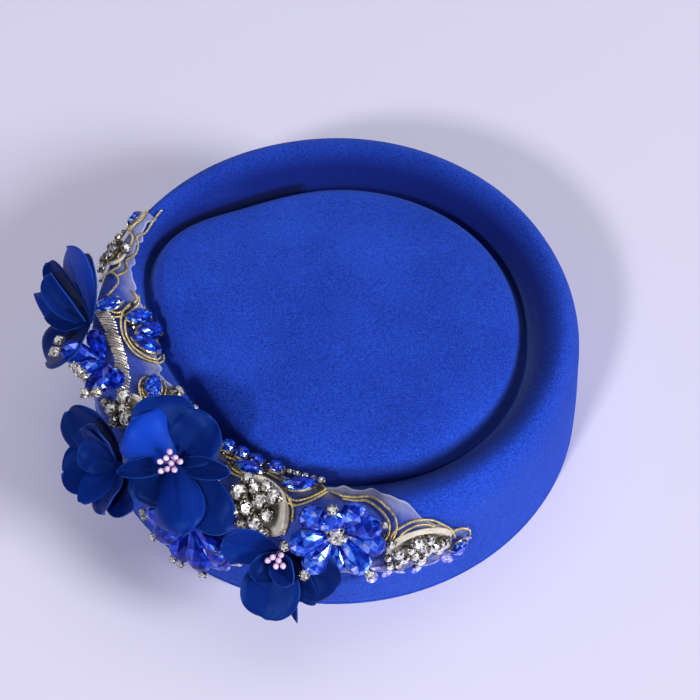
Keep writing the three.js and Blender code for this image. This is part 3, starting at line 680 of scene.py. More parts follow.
def makeOrganza():
    table = np.array(organzaMake["edges"], float)
    angles = np.linspace(table[0, 0], table[-1, 0], organzaMake["rows"])
    kernel = np.hanning(25) / np.hanning(25).sum()      # rounds the corners between the rows
    inner, outer = (np.pad(np.interp(angles, table[:, 0], table[:, k]), 12, "edge") for k in (1, 2))
    inner, outer = (np.convolve(line, kernel, "valid") for line in (inner, outer))
    wobble = 0.8 * np.sin(angles * 0.85) + 0.35 * np.sin(angles * 1.7 + 1)
    share = np.linspace(0, 1, organzaMake["columns"])[None, :]
    reach = (inner + wobble)[:, None] * (1 - share) + (outer + wobble * 0.8)[:, None] * share
    fromEdge = np.minimum(reach - reach[:, :1], reach[:, -1:] - reach)
    free = clamped(1 - fromEdge / organzaMake["free"]) ** 1.6
    wave = np.sin(np.radians(angles) * 61)[:, None] * 0.5 + np.sin(np.radians(angles) * 37 + 2)[:, None]
    height = organzaMake["height"] + free * (organzaMake["flare"] + organzaMake["ruffle"] * wave)
    points = onHat(angles[:, None], reach, np.maximum(height, 0.4))
    rows, columns = reach.shape
    faces = gridFaces(rows, columns)
    net = newPiece("organza_net", points.reshape(-1, 3), faces, "organza", "organza", isClosed=False)
    storeValues(net, "rim", clamped(1 - fromEdge / organzaMake["hem"]).ravel())
    storeValues(net, "margin", clamped(1.6 - fromEdge / organzaMake["margin"]).ravel())
    middle = points[:, columns // 2]
    along = np.cumsum(np.r_[0, np.linalg.norm(np.diff(middle, axis=0), axis=1)])
    storeUv(net, "weave", np.stack([np.repeat(along, columns), reach.ravel()], axis=-1))
    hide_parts("organza_ground")


makeOrganza()
print("organza ground made")


def newTree(name, sockets):
    tree = bpy.data.node_groups.new(name, "GeometryNodeTree")
    tree.interface.new_socket("Geometry", in_out="OUTPUT", socket_type="NodeSocketGeometry")
    for label, kind, value in [("Geometry", "Geometry", None), *sockets, ("Finish", "Material", None)]:
        socket = tree.interface.new_socket(label, in_out="INPUT", socket_type="NodeSocket" + kind)
        if value is not None:
            socket.default_value = value
    start = tree.nodes.new("NodeGroupInput")
    inputs = {socket.name: Wire(tree, socket) for socket in start.outputs if socket.name}
    return tree, Wire(tree), inputs


def endTree(w, shape, material, isSmooth):
    plain = w.node("GeometryNodeRealizeInstances", None, {0: shape})
    shaded = w.node("GeometryNodeSetShadeSmooth", None, {"Geometry": plain, "Shade Smooth": isSmooth})
    coated = w.node("GeometryNodeSetMaterial", None, {"Geometry": shaded, "Material": material})
    out = w.tree.nodes.new("NodeGroupOutput")
    w.tree.links.new(coated.socket, out.inputs[0])


def cordTree():
    # strands wound around a line
    sockets = [
        ("Radius", "Float", 0.0004), ("Pitch", "Float", 0.0016), ("Thread", "Float", 0.0003),
        ("Strands", "Int", 2), ("Step", "Float", 0.0002),
    ]
    tree, w, given = newTree("wound cord", sockets)
    line = w.node("GeometryNodeMeshToCurve", None, {0: given["Geometry"]})
    even = w.node("GeometryNodeResampleCurve", {"mode": "LENGTH"},
                  {"Curve": line, "Length": given["Step"]})
    doubled = w.node("GeometryNodeDuplicateElements", {"domain": "SPLINE"},
                     {"Geometry": even, "Amount": given["Strands"]})
    copy = Wire(tree, doubled.socket.node.outputs["Duplicate Index"])
    along = w.node("GeometryNodeSplineParameter", output=1)
    angle = (along / given["Pitch"] + copy / given["Strands"]) * (2 * math.pi)
    normal = w.node("GeometryNodeInputNormal")
    across = w.node("GeometryNodeInputTangent").vector("CROSS_PRODUCT", normal)
    sideways = normal.vector("SCALE", w.maths("COSINE", angle) * given["Radius"], "Scale")
    upwards = across.vector("SCALE", w.maths("SINE", angle) * given["Radius"], "Scale")
    offset = sideways.vector("ADD", upwards)
    wound = w.node("GeometryNodeSetPosition", None, {"Geometry": doubled, "Offset": offset})
    section = w.node("GeometryNodeCurvePrimitiveCircle", None,
                     {"Resolution": 5, "Radius": given["Thread"]})
    inputs = {"Curve": wound, "Profile Curve": section, "Fill Caps": True}
    endTree(w, w.node("GeometryNodeCurveToMesh", None, inputs), given["Finish"], True)
    return tree


def scatterTree():
    # one item at each point, turned and scaled by the point's own attributes
    tree, w, given = newTree("set items", [("Size", "Float", 1.0), ("Item", "Object", None)])
    item = w.node("GeometryNodeObjectInfo", {"transform_space": "ORIGINAL"},
                  {"Object": given["Item"], "As Instance": True}, output=-1)
    settings = {"data_type": "FLOAT_VECTOR"}
    euler = w.node("GeometryNodeInputNamedAttribute", settings, {"Name": "turned"})
    scale = w.node("GeometryNodeInputNamedAttribute", settings, {"Name": "scaled"})
    turn = w.node("FunctionNodeEulerToRotation", None, {0: euler})
    size = scale.vector("SCALE", given["Size"], "Scale")
    points = w.node("GeometryNodeMeshToPoints", None, {0: given["Geometry"]})
    inputs = {"Points": points, "Instance": item, "Rotation": turn, "Scale": size}
    endTree(w, w.node("GeometryNodeInstanceOnPoints", None, inputs), given["Finish"], False)
    return tree


trees = {"cord": cordTree(), "scatter": scatterTree()}


def grown(piece, tree, values):
    # runs the tree on the piece and keeps the result as a plain mesh
    modifier = piece.modifiers.new("grow", "NODES")
    modifier.node_group = tree
    sockets = {s.name: s.identifier for s in tree.interface.items_tree if s.in_out == "INPUT"}
    for name, value in values.items():
        modifier[sockets[name]] = value
    graph = bpy.context.evaluated_depsgraph_get()
    mesh = bpy.data.meshes.new_from_object(piece.evaluated_get(graph), depsgraph=graph)
    piece.modifiers.remove(modifier)
    piece.data = mesh
    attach(piece, "root")
    return piece


def setItems(name, item, frames, sizes, material, slot):
    # frames: (origin, u, v, normal) in millimetres; sizes: three scales each
    piece = newPiece(name, [origin for origin, *axes in frames], [], None, None, isClosed=False)
    turned = [Matrix(np.array(axes).T.tolist()).to_euler() for origin, *axes in frames]
    for label, values in (("turned", turned), ("scaled", sizes)):
        layer = piece.data.attributes.new(label, "FLOAT_VECTOR", "POINT")
        layer.data.foreach_set("vector", np.array([list(v) for v in values], float).ravel())
    values = {"Size": 1.0, "Item": item, "Finish": finishes[material]}
    return grown(piece, trees["scatter"], values)


goldCord = {"Radius": 0.28, "Pitch": 1.5, "Thread": 0.28, "Step": 0.2}      # millimetres
cordStrands = 2
cordHeight = 1.9       # middle of a cord above the felt
# Routes are [angle, reach] lists; a doubled route has a second cord beside it.
goldRoutes = {
    "gold_edge_upper": [
        [[174, -5], [177, -1.5], [181, 0.6], [186, 0.8], [190, -0.4], [193, -2.4], [195, -5.4], [196, -10],
         [194, -13.5], [191, -15]],
        [[181.6, -0.8], [186, -0.6], [190, -1.8], [192.2, -3.8], [194, -6.4], [194.6, -10], [193, -12.6]],
        [[173.6, -9], [177, -12.2], [182, -13.8], [187, -13.6], [191, -11.6], [192.6, -8]],
        [[175, -8.6], [178, -11], [182, -12.6], [186.6, -12.4], [190, -10.4], [191.2, -7.6]],
        [[177.5, 7], [179.5, 2.5], [178.6, 0], [176, -3], [173.6, -5.4], [171.6, -5.8], [170.6, -3.6]],
        [[179.6, 6.4], [181, 2.8], [179.6, -1.2], [176.6, -4.6], [173.4, -6.8], [170.6, -6.6]],
        [[169, 8], [167, 5.4], [167.6, 2.8], [169.6, 1.8], [172, 3], [174.4, 4.8]],
    ],
    "gold_edge_far": [
        [[143, 0], [147, -0.6], [151, -1.2], [154, 0.4], [156, -1.4], [159, -1.6], [162, 0.6], [165, -0.4],
         [168, 2.6]],
        [[145, 2.4], [149, 2], [152.6, 3], [155.2, 1.4], [158.6, 1.6], [161.6, 3], [164.6, 2.2],
         [167, 4.6]],
        [[146, 4.6], [150, 6.4], [154, 7.6], [158, 10], [162, 10.6], [166, 9]],
    ],
    "gold_edge_side": [
        [[203.5, -8.5], [207, -7.6], [210.4, -4], [211.6, 0.6], [209.6, 3.2], [206, 2.4], [203, 0.6],
         [201.6, -2]],
        [[204.6, -6.8], [206.8, -6], [209, -3.2], [209.8, 0.2], [208.4, 1.8], [205.8, 1.2], [203.6, -0.4]],
        [[205, 7], [207.4, 5.4], [210, 3.4], [212.6, 3]],
        [[196, 7.4], [199.6, 8.6], [203.4, 8.6], [206.6, 6.8], [209, 4.6]],
    ],
    "gold_edge_middle": [
        [[239.4, -1.6], [242, 0.2], [246, -0.2], [249.4, -1.6], [252.4, -0.6], [256, 2.4], [258.4, 6],
         [259, 10], [258.4, 15]],
        [[239, -3.6], [242, -1.6], [246, -1.6], [250, -3], [254, -1.4], [257.4, 2.2], [259.6, 6],
         [260, 10]],
        [[238.6, 0], [240.4, 3.4], [240.2, 7], [241.4, 11]],
        [[256.6, 1.4], [259.4, 3.6], [262.4, 2.4], [265, -0.4], [267, -3.6], [265.8, -6.4]],
        [[257.6, 4.6], [260.4, 5], [263.6, 3], [266, 0], [267.6, -2.4]],
        [[237, -6], [241, -7], [246, -7.4], [250.6, -7.2], [254.6, -5]],
        [[221, -6], [226, -8.4], [231, -8.6], [236, -7]],
    ],
    "gold_edge_lower": [
        [[268.6, -2.6], [271, -0.4], [274.4, 0.8], [278, 1], [281, 4.4], [283, 9], [282.8, 14], [281, 20]],
        [[271.4, 1.2], [274.4, 2.4], [277.2, 2.8], [279.8, 5.8], [281.4, 9.6], [281.2, 14], [279.6, 19]],
        [[281, 20.6], [281.8, 15], [284.4, 12.4], [287.4, 11.4], [291, 13], [293.8, 17.6], [295.6, 23],
         [296.4, 28]],
        [[283.2, 21], [283.8, 16], [287.2, 13.4], [290.4, 14.8], [292.6, 19], [294.2, 24.6]],
        [[294.6, 28.4], [295, 24.6], [297.2, 23.2], [299.6, 26.6], [300.2, 31], [299, 35]],
        [[281.4, 21.6], [280.6, 26], [281.4, 31], [280.8, 36]],
        [[283, 23], [282.2, 28], [283, 33]],
    ],
}


def woundCord(name, lines):
    points, edges = [], []
    for line in lines:
        edges += [(len(points) + k, len(points) + k + 1) for k in range(len(line) - 1)]
        points += [tuple(p) for p in line]
    piece = newPiece(name, points, [], None, None, isClosed=False, edges=edges)
    values = {label: size * millimetre for label, size in goldCord.items()}
    values.update({"Strands": cordStrands, "Finish": finishes["gold"]})
    return grown(piece, trees["cord"], values)


for name, routes in goldRoutes.items():
    lines = [onHat(*curveThrough(route).T, cordHeight) for route in routes]
    cord = woundCord(name + "_cord", lines)
    if name not in ("gold_edge_far", "gold_edge_middle"):      # these two are added
        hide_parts(name)

# The band's purls are short coiled wires laid side by side at a slant.
purlBand = {
    "route": [
        [178.6, 7.4], [181, 5.6], [184, 4.6], [189, 4], [194, 3.8], [199, 4.8], [203, 6.6], [206.4, 9.4],
    ],
    "step": 1.3,
    "long": 6.4,
    "thick": 1.05,
    "slant": 38,
    "height": 2.0,
    "coils": 9,
    "arch": 0.55,
}


def unitPurl():
    # one arched, coiled wire of unit length
    sides = 7
    share = np.linspace(0, 1, purlBand["coils"] * 2 + 1)
    radii = np.where(np.arange(len(share)) % 2, 0.5, 0.38)
    radii[[0, -1]] = 0.25
    points, faces, values = tube(np.stack([share - 0.5, 0 * share, 0 * share], axis=-1), radii, sides)
    points[:-2, 2] += np.repeat(purlBand["arch"] * np.sin(math.pi * share), sides)
    return unitPiece("unit_purl", points, faces, "purl", isSmooth=True)


def makePurlBand():
    line = curveThrough(purlBand["route"], purlBand["step"])
    chance = np.random.default_rng(17)
    frames, sizes = [], []
    for i in range(1, len(line) - 1):
        origin = onHat(*line[i], purlBand["height"])
        normal = unit(onHat(*line[i], purlBand["height"] + 1) - origin)
        ahead = unit(onHat(*line[i + 1]) - onHat(*line[i - 1]))
        across = unit(np.cross(normal, ahead))
        slant = math.radians(purlBand["slant"] + chance.uniform(-9, 9))
        u = across * math.cos(slant) + ahead * math.sin(slant)
        frames.append((origin, u, unit(np.cross(normal, u)), normal))
        thick = purlBand["thick"] * chance.uniform(0.85, 1.1)
        sizes.append((purlBand["long"] * chance.uniform(0.86, 1.06), thick, thick))
    item = unitPurl()
    band = setItems("purl_band_stitches", item, frames, sizes, "purl", "purl")
    bpy.data.objects.remove(item)
    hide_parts("purl_band")


makePurlBand()
print("edging wound")

# A crowned cushion with a raised border of satin stitch around a lower middle.
padMakes = {
    "pad_far": {
        "angle": 160.5, "reach": 4.4, "turn": 0, "long": 13, "wide": 6, "high": 1.2, "satin": -20,
    },
    "pad_upper": {
        "angle": 209.4, "reach": 9.4, "turn": 20, "long": 13, "wide": 12, "high": 2.2, "satin": -110,
    },
    "pad_middle": {
        "angle": 252, "reach": 7, "turn": 35, "long": 24, "wide": 17, "high": 2.6, "satin": -80,
    },
    "pad_lower": {
        "angle": 288, "reach": 23, "turn": 5, "long": 25, "wide": 15, "high": 2.2, "satin": -95,
    },
}
padMake = {
    "base": 1.55,        # its underside above the felt
    "around": 150,
    "rings": 22,
    "border": 0.76,      # share of the radius where the raised border starts
    "stitch": 0.07,      # ridge of each thread
    "middle": 0.5,       # height of the middle, as a share of the border's
    "fill": 0.85,
}


def makePad(name, make):
    place = chart(make["angle"], make["reach"], make["turn"])
    around, border = padMake["around"], padMake["border"]
    angle = np.arange(around) * 2 * math.pi / around
    facing = np.cos(angle - math.radians(make["satin"]))
    points, weave, stitched = [], [], []

    def ring(s, h):
        onBorder = clamped((s - border + 0.08) / 0.06)
        stitched.append(onBorder * clamped((facing + 0.25) / 0.2))
        u = make["long"] / 2 * s * np.cos(angle)
        v = make["wide"] / 2 * s * np.sin(angle)
        points.append(onHat(*place(u, v), padMake["base"] + h))
        along = angle * (make["long"] + make["wide"]) / 4
        weave.append(np.stack([along, np.full(around, s * 6.0)], axis=-1))

    for s in np.sin(np.linspace(0.04, 1, padMake["rings"]) * math.pi / 2):
        t = clamped((s - border) / (1 - border))
        hump = math.sin(math.pi * min(t * 0.8 + 0.12, 1)) ** 0.8 if t > 0 else 0.45
        ridge = padMake["stitch"] * np.sin(angle * around / 4) * (1 if t > 0 else 0.3)
        ring(s, make["high"] * max(hump, padMake["middle"]) * (1 if s < 0.999 else 0.35) + ridge)
    ring(0.97, 0.0)
    ring(0.5, 0.0)
    faces = gridFaces(len(points), around, closed=True)
    flat = np.vstack([*points, points[0].mean(axis=0), points[-1].mean(axis=0)])
    capEnds(faces, around, len(flat))
    pad = newPiece(name + "_cushion", flat, faces, "pad", "pad")
    storeUv(pad, "weave", np.vstack(weave + [np.zeros((2, 2))]))
    storeValues(pad, "stitched", np.append(np.concatenate(stitched), [0, 0]))
    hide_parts(name)


for name, make in padMakes.items():
    makePad(name, make)
print("pads stitched")


def faceted(rings, ends, u, v, sides, pointed=1):
    # rings: centre, half width along u and along v, and turn as a share of a side;
    # triangular facets between them and fans to the two ends
    points, faces = [], []
    for centre, wide, deep, shift in rings:
        turn = (np.arange(sides)[:, None] + shift) * 2 * math.pi / sides
        across = np.sign(np.sin(turn)) * np.abs(np.sin(turn)) ** pointed
        points.append(centre + wide * np.cos(turn) * u + deep * across * v)
    for i in range(len(rings) - 1):
        for j in range(sides):
            a, b, c, d = (row * sides + column % sides for row in (i, i + 1) for column in (j, j + 1))
            isAhead = rings[i][3] < rings[i + 1][3]
            faces += [(a, b, c), (b, d, c)] if isAhead else [(a, b, d), (a, d, c)]
    points = np.vstack([*points, *ends])
    capEnds(faces, sides, len(points))
    return points, faces


gemRings = [(0.55, 0.0, 0), (0.98, 0.34, 0), (1.0, 0.44, 0.5), (0.84, 0.74, 0), (0.56, 0.98, 0.5)]


def gem(origin, u, v, normal, long, wide, high, sides, pointed, seed):
    # a cut stone, from the sole over the girdle to the table
    chance = np.random.default_rng(seed)
    rings = [(origin + high * height * normal, long / 2 * share, wide / 2 * share, shift)
             for share, height, shift in gemRings]
    points, faces = faceted(rings, (origin, origin + high * normal), u, v, sides, pointed)
    table = float(chance.uniform(0.35, 0.8))
    # painted glints: a random brightness for each of the facets
    values = chance.beta(0.9, 1.1, len(faces))
    values[-1::-2][:sides] = table + chance.uniform(-0.12, 0.12, sides)      # the table's facets, painted one brightness
    return points, faces, values.tolist()


def gemPiece(name, parts, material, slot):
    points, faces, values = joined(parts)
    piece = newPiece(name, points, faces, material, slot, isSmooth=False)
    storeValues(piece, "facet", values, "FACE")
    return piece


trimBase = 1.7       # soles of sewn pieces above the felt
marquise = 1.6       # how pointed the ends of the long stones are
seatMake = {
    "under": 0.25,       # the tray's sole below the stone's
    "wider": 1.06,
    "high": 0.5,         # share of the stone's height
    "clawOut": 1.02,
    "clawUp": 0.34,      # share of the stone's height
    "clawFor": 3.4,      # height of the stone that the claw is drawn for
}
stoneSets = {
    "leaf_stones": [      # name, angle, reach, turn, long, wide, high
        ("marquise_left", 177.6, 4.6, 72, 13, 6, 3.4),
        ("marquise_leaf_1", 179.4, -6, 60, 13, 6.8, 3.8),
        ("marquise_leaf_2", 183.6, -9.4, 58, 15, 8.2, 4.8),
        ("marquise_leaf_3", 189.4, -7.2, 108, 13.4, 6.6, 3.8),
    ],
    "side_stones": [
        ("marquise_side", 206, -2.6, 25, 13, 6.8, 3.6),
        ("round_blue_side", 213.5, -10, 0, 5, 5, 3.4),
    ],
    "inner_stones": [
        ("round_inner_1", 235.5, -9.5, 0, 6.4, 6.4, 4.4),
        ("round_inner_2", 240, -10.5, 0, 6.6, 6.6, 4.4),
        ("round_inner_3", 245, -10.5, 0, 6.4, 6.4, 4.4),
        ("marquise_inner", 245, -4.5, 0, 12.5, 6, 3.6),
        ("round_inner_4", 251.5, -10.5, 0, 6.6, 6.6, 4.6),
        ("marquise_bright", 260, -3.5, -25, 14.5, 6.8, 3.8),
    ],
    "end_stones": [
        ("marquise_far", 149, 4, 0, 8, 4.4, 2.6),
        ("marquise_end", 297, 34, -20, 8.4, 5, 3.2),
    ],
}
clawFrames, clawSizes, seatParts = [], [], []


def addSeat(origin, u, v, normal, long, wide, high, pointed, claws):
    # a low metal tray under the stone and claws over its girdle
    sole = origin - seatMake["under"] * normal
    size = (long * seatMake["wider"], wide * seatMake["wider"], high * seatMake["high"])
    seatParts.append(gem(sole, u, v, normal, *size, 12, pointed, 7))
    for i in range(claws):
        turn = (i + 0.5) * 2 * math.pi / claws
        across = math.copysign(abs(math.sin(turn)) ** pointed, math.sin(turn))
        rim = u * math.cos(turn) * long / 2 + v * across * wide / 2
        outward = unit(rim)
        foot = origin + rim * seatMake["clawOut"] + normal * high * seatMake["clawUp"]
        clawFrames.append((foot, outward, np.cross(normal, outward), normal))
        clawSizes.append((1.0, 1.0, high / seatMake["clawFor"]))


for setName, rows in stoneSets.items():
    parts = []
    for i, (name, angle, reach, turn, long, wide, high) in enumerate(rows):
        standing = frameOn(angle, reach, trimBase, turn)
        sides, claws, pointed = (14, 4, marquise) if name.startswith("marquise") else (12, 5, 1)
        parts.append(gem(*standing, long, wide, high, sides, pointed, 40 + i * 7))
        addSeat(*standing, long, wide, high, pointed, claws)
    stones = gemPiece(setName, parts, "blueStone", "blue_stone")
    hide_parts(*[row[0] for row in rows])

parts = []
for angle, reach, size, high, seed in ((210, -9.5, 6, 4, 96), (270, 12, 9.2, 5.4, 99)):
    standing = frameOn(angle, reach, trimBase, 10)
    parts.append(gem(*standing, size, size, high, 12, 1, seed))
    addSeat(*standing, size, size, high, 1, 6)
clearStones = gemPiece("clear_stones", parts, "crystal", "rhinestone")
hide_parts("round_side", "bead_flower_front_crystal")
print("cut stones set")

# turn 0 is towards growing angle and 90 is down the wall; tone 0 is deep blue, 1 is pale
dropMake = {
    "long": 14.0,
    "flat": 0.66,        # thickness as a share of the width
    "stagger": 1.1,      # every other drop lies this much higher
    "sides": 10,
    "outline": [
        (0.0, 0.16), (0.16, 0.42), (0.40, 0.78), (0.66, 1.0), (0.84, 0.84), (0.96, 0.48), (1.0, 0.16),
    ],
    "tipGap": 0.9,       # from a drop to the stone at its tip
}
beadFlowers = {
    "bead_flower_front": {
        "angle": 270, "reach": 12, "lift": 1.4, "start": 3.0, "wide": 9.6,
        "drops": [    # turn, rise, tone, size
            (92, 10, 0.6, 0.86), (54, 9, 0.7, 1.08), (14, 10, 0.5, 1.08), (-24, 14, 0.3, 1.08),
            (-60, 18, 0.3, 1.08), (-96, 26, 0.45, 0.92), (-134, 16, 0.4, 1.12), (174, 13, 0.5, 1.12),
            (132, 20, 0.5, 1.08),
        ],
        "small": [(-100, 42, 0.25, 0.62), (-118, 34, 0.9, 0.66)],
    },
    "bead_flower_side": {
        "angle": 195, "reach": 8, "lift": 1.4, "start": 1.6, "wide": 8.2,
        "drops": [
            (122, 24, 0.35, 1.22), (66, 34, 0.55, 0.8), (20, 26, 0.05, 1.28), (172, 18, 0.0, 0.9),
        ],
        "small": [(-10, 14, 0.0, 1.0)],
    },
    "bead_flower_corner": {
        "angle": 237.4, "reach": 25, "lift": 1.2, "start": 2.0, "wide": 9.2,
        "drops": [
            (168, 12, 0.3, 1.24), (136, 16, 0.2, 1.2), (98, 20, 0.0, 1.28), (62, 18, 0.05, 1.3),
            (26, 14, 0.0, 1.2),
        ],
        "small": [(0, 12, 0.0, 1.1), (44, 6, 0.2, 1.45)],
    },
}


def dropBead(origin, axis, side, over, start, size, wide, seed):
    rings = []
    for i, (along, share) in enumerate(dropMake["outline"]):
        centre = origin + axis * (start + dropMake["long"] * size * along)
        radius = wide * size / 2 * share
        rings.append((centre, radius, radius * dropMake["flat"], 0.5 * (i % 2)))
    points, faces = faceted(rings, (rings[0][0], rings[-1][0]), side, over, dropMake["sides"])
    # painted glints: a random brightness for each of the facets
    return points, faces, np.random.default_rng(seed).beta(0.9, 1.6, len(faces)).tolist()


dropTips = {}
for name, flower in beadFlowers.items():
    parts, tones, dropTips[name] = [], [], []
    for i, (turn, rise, tone, size) in enumerate(flower["drops"] + flower["small"]):
        base = trimBase + flower["lift"]
        origin, u, side, normal = frameOn(flower["angle"], flower["reach"], base, turn)
        slope = math.radians(rise)
        axis = u * math.cos(slope) + normal * math.sin(slope)
        over = unit(np.cross(axis, side))
        origin = origin + over * dropMake["stagger"] * (i % 2) * (1 if over[2] > 0 else -1)
        seed = 200 + i * 3 + len(name)
        parts.append(dropBead(origin, axis, side, over, flower["start"], size, flower["wide"], seed))
        tones += [tone] * len(parts[-1][1])
        tip = origin + axis * (flower["start"] + dropMake["long"] * size + dropMake["tipGap"])
        dropTips[name].append((tip, axis, side, over))
    drops = gemPiece(name + "_drops", parts, "drop", "blue_drop")
    storeValues(drops, "tone", tones, "FACE")
    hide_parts(*[f"{name}_drop_{i + 1}" for i in range(len(flower["drops"]))])
print("drop beads strung")

# Stones fill each pad inside its stitched crescent; "more" and the loose ones are
# [angle, reach, size], and tipStones sit at the tips of drops.
rhinestoneSets = {
    "rhinestones_far": {
        "pad": "pad_far", "size": 4.0, "height": 2.7, "seed": 4, "inside": 1.2, "crescent": 1.1,
        "more": [[165.6, 7, 3.8], [157.6, 8.4, 3.6], [162, 9, 3.8]],
    },
    "rhinestones_upper": {
        "pad": "pad_upper", "size": 5.4, "height": 2.9, "seed": 2, "inside": 1.2, "crescent": 0.84,
        "more": [[209.4, 17.4, 3.8], [204.4, 13.4, 3.6]],
    },
    "rhinestones_middle": {
        "pad": "pad_middle", "size": 5.6, "height": 3.2, "seed": 5, "inside": 1.16, "crescent": 0.82,
        "more": [],
    },
    "rhinestones_lower": {
        "pad": "pad_lower", "size": 5.2, "height": 2.8, "seed": 8, "inside": 1.12, "crescent": 0.8,
        "more": [[283, 31.4, 3.6]],
    },
    "rhinestones_loose": {
        "pad": None, "height": 2.3,
        "more": [
            [255.4, -13, 3.0], [258, -12.4, 3.0], [260.6, -11.8, 2.8], [263.2, -10.8, 2.6],
            [265.6, -7.6, 3.4], [281.6, 18.4, 3.6], [280.8, 26.6, 3.2], [281.2, 32, 3.8],
            [217, -12.4, 3.6], [244.8, 36, 4.2], [248.6, 38, 3.2], [231, 41, 3.4],
        ],
    },
}
tipStones = {          # drop number, size, sideways shift in mm
    "bead_flower_front": [
        (0, 3.2, 0), (1, 3.8, 0.6), (3, 2.6, -1), (5, 4.2, 0), (7, 3.6, 0), (8, 4.0, 0),
    ],
    "bead_flower_side": [
        (0, 4.2, -2.4), (0, 4.6, 2.6), (1, 3.6, -2), (1, 4.2, 1.6), (2, 4.2, -2.6), (2, 4.6, 2),
        (1, 3.2, 5),
    ],
    "bead_flower_corner": [
        (0, 3.2, 0), (0, 3.2, 2.6), (1, 3.4, 0), (2, 3.2, -1.5), (2, 3.2, 1.8), (3, 3.4, 0),
    ],
}
packing = {"pitch": 0.84, "row": 0.87, "jitter": 0.4, "edge": 0.1}      # pitch as a share of the size


def packedOn(pad, make):
    # rows of stones side by side, as places [angle, reach, size]
    chance = np.random.default_rng(make["seed"])
    place = chart(pad["angle"], pad["reach"], pad["turn"])
    pitch, jitter = make["size"] * packing["pitch"], packing["jitter"]
    stones = []
    for row in range(-5, 6):
        for column in range(-5, 6):
            u = (column + 0.5 * (row % 2)) * pitch + chance.uniform(-jitter, jitter)
            v = row * pitch * packing["row"] + chance.uniform(-jitter, jitter)
            size = make["size"] * chance.uniform(0.8, 1.16)
            x, y = u / (pad["long"] / 2), v / (pad["wide"] / 2)
            isCrescent = math.cos(math.atan2(y, x) - math.radians(pad["satin"])) > -0.2
            limit = make["crescent"] if isCrescent else make["inside"]
            if math.hypot(x, y) <= limit - packing["edge"]:
                stones.append([*place(u, v), size])
    return stones


def scattered(rows, chance, widest, tilt):
    # frames and sizes for rows of angle, reach, size and height, each turned and tilted by chance
    frames, sizes = [], []
    for angle, reach, size, height in rows:
        origin, u, v, normal = frameOn(angle, reach, height, float(chance.uniform(0, widest)))
        lean = normal + u * chance.uniform(-tilt, tilt) + v * chance.uniform(-tilt, tilt)
        frames.append(leaning(origin, u, lean))
        sizes.append((size, size, size))
    return frames, sizes


def unitStone():
    points, faces, values = gem(np.zeros(3), *np.eye(3), 1.0, 1.0, 0.62, 11, 1, 5)
    item = unitPiece("unit_stone", points, faces, "crystal")
    storeValues(item, "facet", values, "FACE")
    return item


def unitCup():
    # an open cup with four claws, for a stone of unit width
    sides = 8
    rings = [(0.34, -0.06), (0.5, 0.12), (0.53, 0.26), (0.47, 0.25), (0.3, 0.02)]
    last = (len(rings) - 1) * sides
    faces = gridFaces(len(rings), sides, closed=True)
    faces += [tuple(range(sides))[::-1], tuple(range(last, last + sides))]
    parts = [(lathed(rings, sides), faces, [0.5] * len(faces))]
    for i in range(4):
        a = (i + 0.5) * math.pi / 2
        out = np.array([math.cos(a), math.sin(a), 0])
        path = [out * r + [0, 0, z] for r, z in ((0.52, 0.08), (0.54, 0.34), (0.41, 0.52))]
        parts.append(tube(path, (0.06, 0.07, 0.045), 4))
    points, faces, values = joined(parts)
    return unitPiece("unit_cup", points, faces, "setting")


def unitClaw():
    # one claw that bends inward over a girdle: x points out, z up
    path = [(0.35, 0, -1.3), (0.45, 0, -0.1), (0.1, 0, 0.75), (-0.55, 0, 1.05)]
    points, faces, values = tube(path, (0.32, 0.34, 0.3, 0.16), 6)
    return unitPiece("unit_claw", points, faces, "setting", isSmooth=True)


stoneItem, cupItem, clawItem = unitStone(), unitCup(), unitClaw()
chance = np.random.default_rng(31)
cupFrames, cupSizes = [], []
for name, make in rhinestoneSets.items():
    packed = packedOn(padMakes[make["pad"]], make) if make["pad"] else []
    rows = [(*stone, make["height"]) for stone in packed + make["more"]]
    frames, sizes = scattered(rows, chance, 90, 0.16)
    if name == "rhinestones_loose":
        for flowerName, tips in tipStones.items():
            for number, size, shift in tips:
                tip, axis, side, over = dropTips[flowerName][number]
                if over[2] < 0:
                    over, side = -over, -side
                lean = over * 0.5 + axis * 0.35 + [0, 0, 0.75]
                frames.append(leaning(tip + side * shift, side, lean))
                sizes.append((size, size, size))
    stones = setItems(name + "_set", stoneItem, frames, sizes, "crystal", "rhinestone")
    if make["pad"]:
        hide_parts(name)
    cupFrames += frames
    cupSizes += sizes
setItems("rhinestone_cups", cupItem, cupFrames, cupSizes, "setting", "gold")
setItems("stone_claws", clawItem, clawFrames, clawSizes, "setting", "gold")
for item in (stoneItem, cupItem, clawItem):
    bpy.data.objects.remove(item)
points, faces, values = joined(seatParts)
newPiece("stone_seats", points, faces, "setting", "gold", isSmooth=False)
print("rhinestones set:", len(cupFrames))
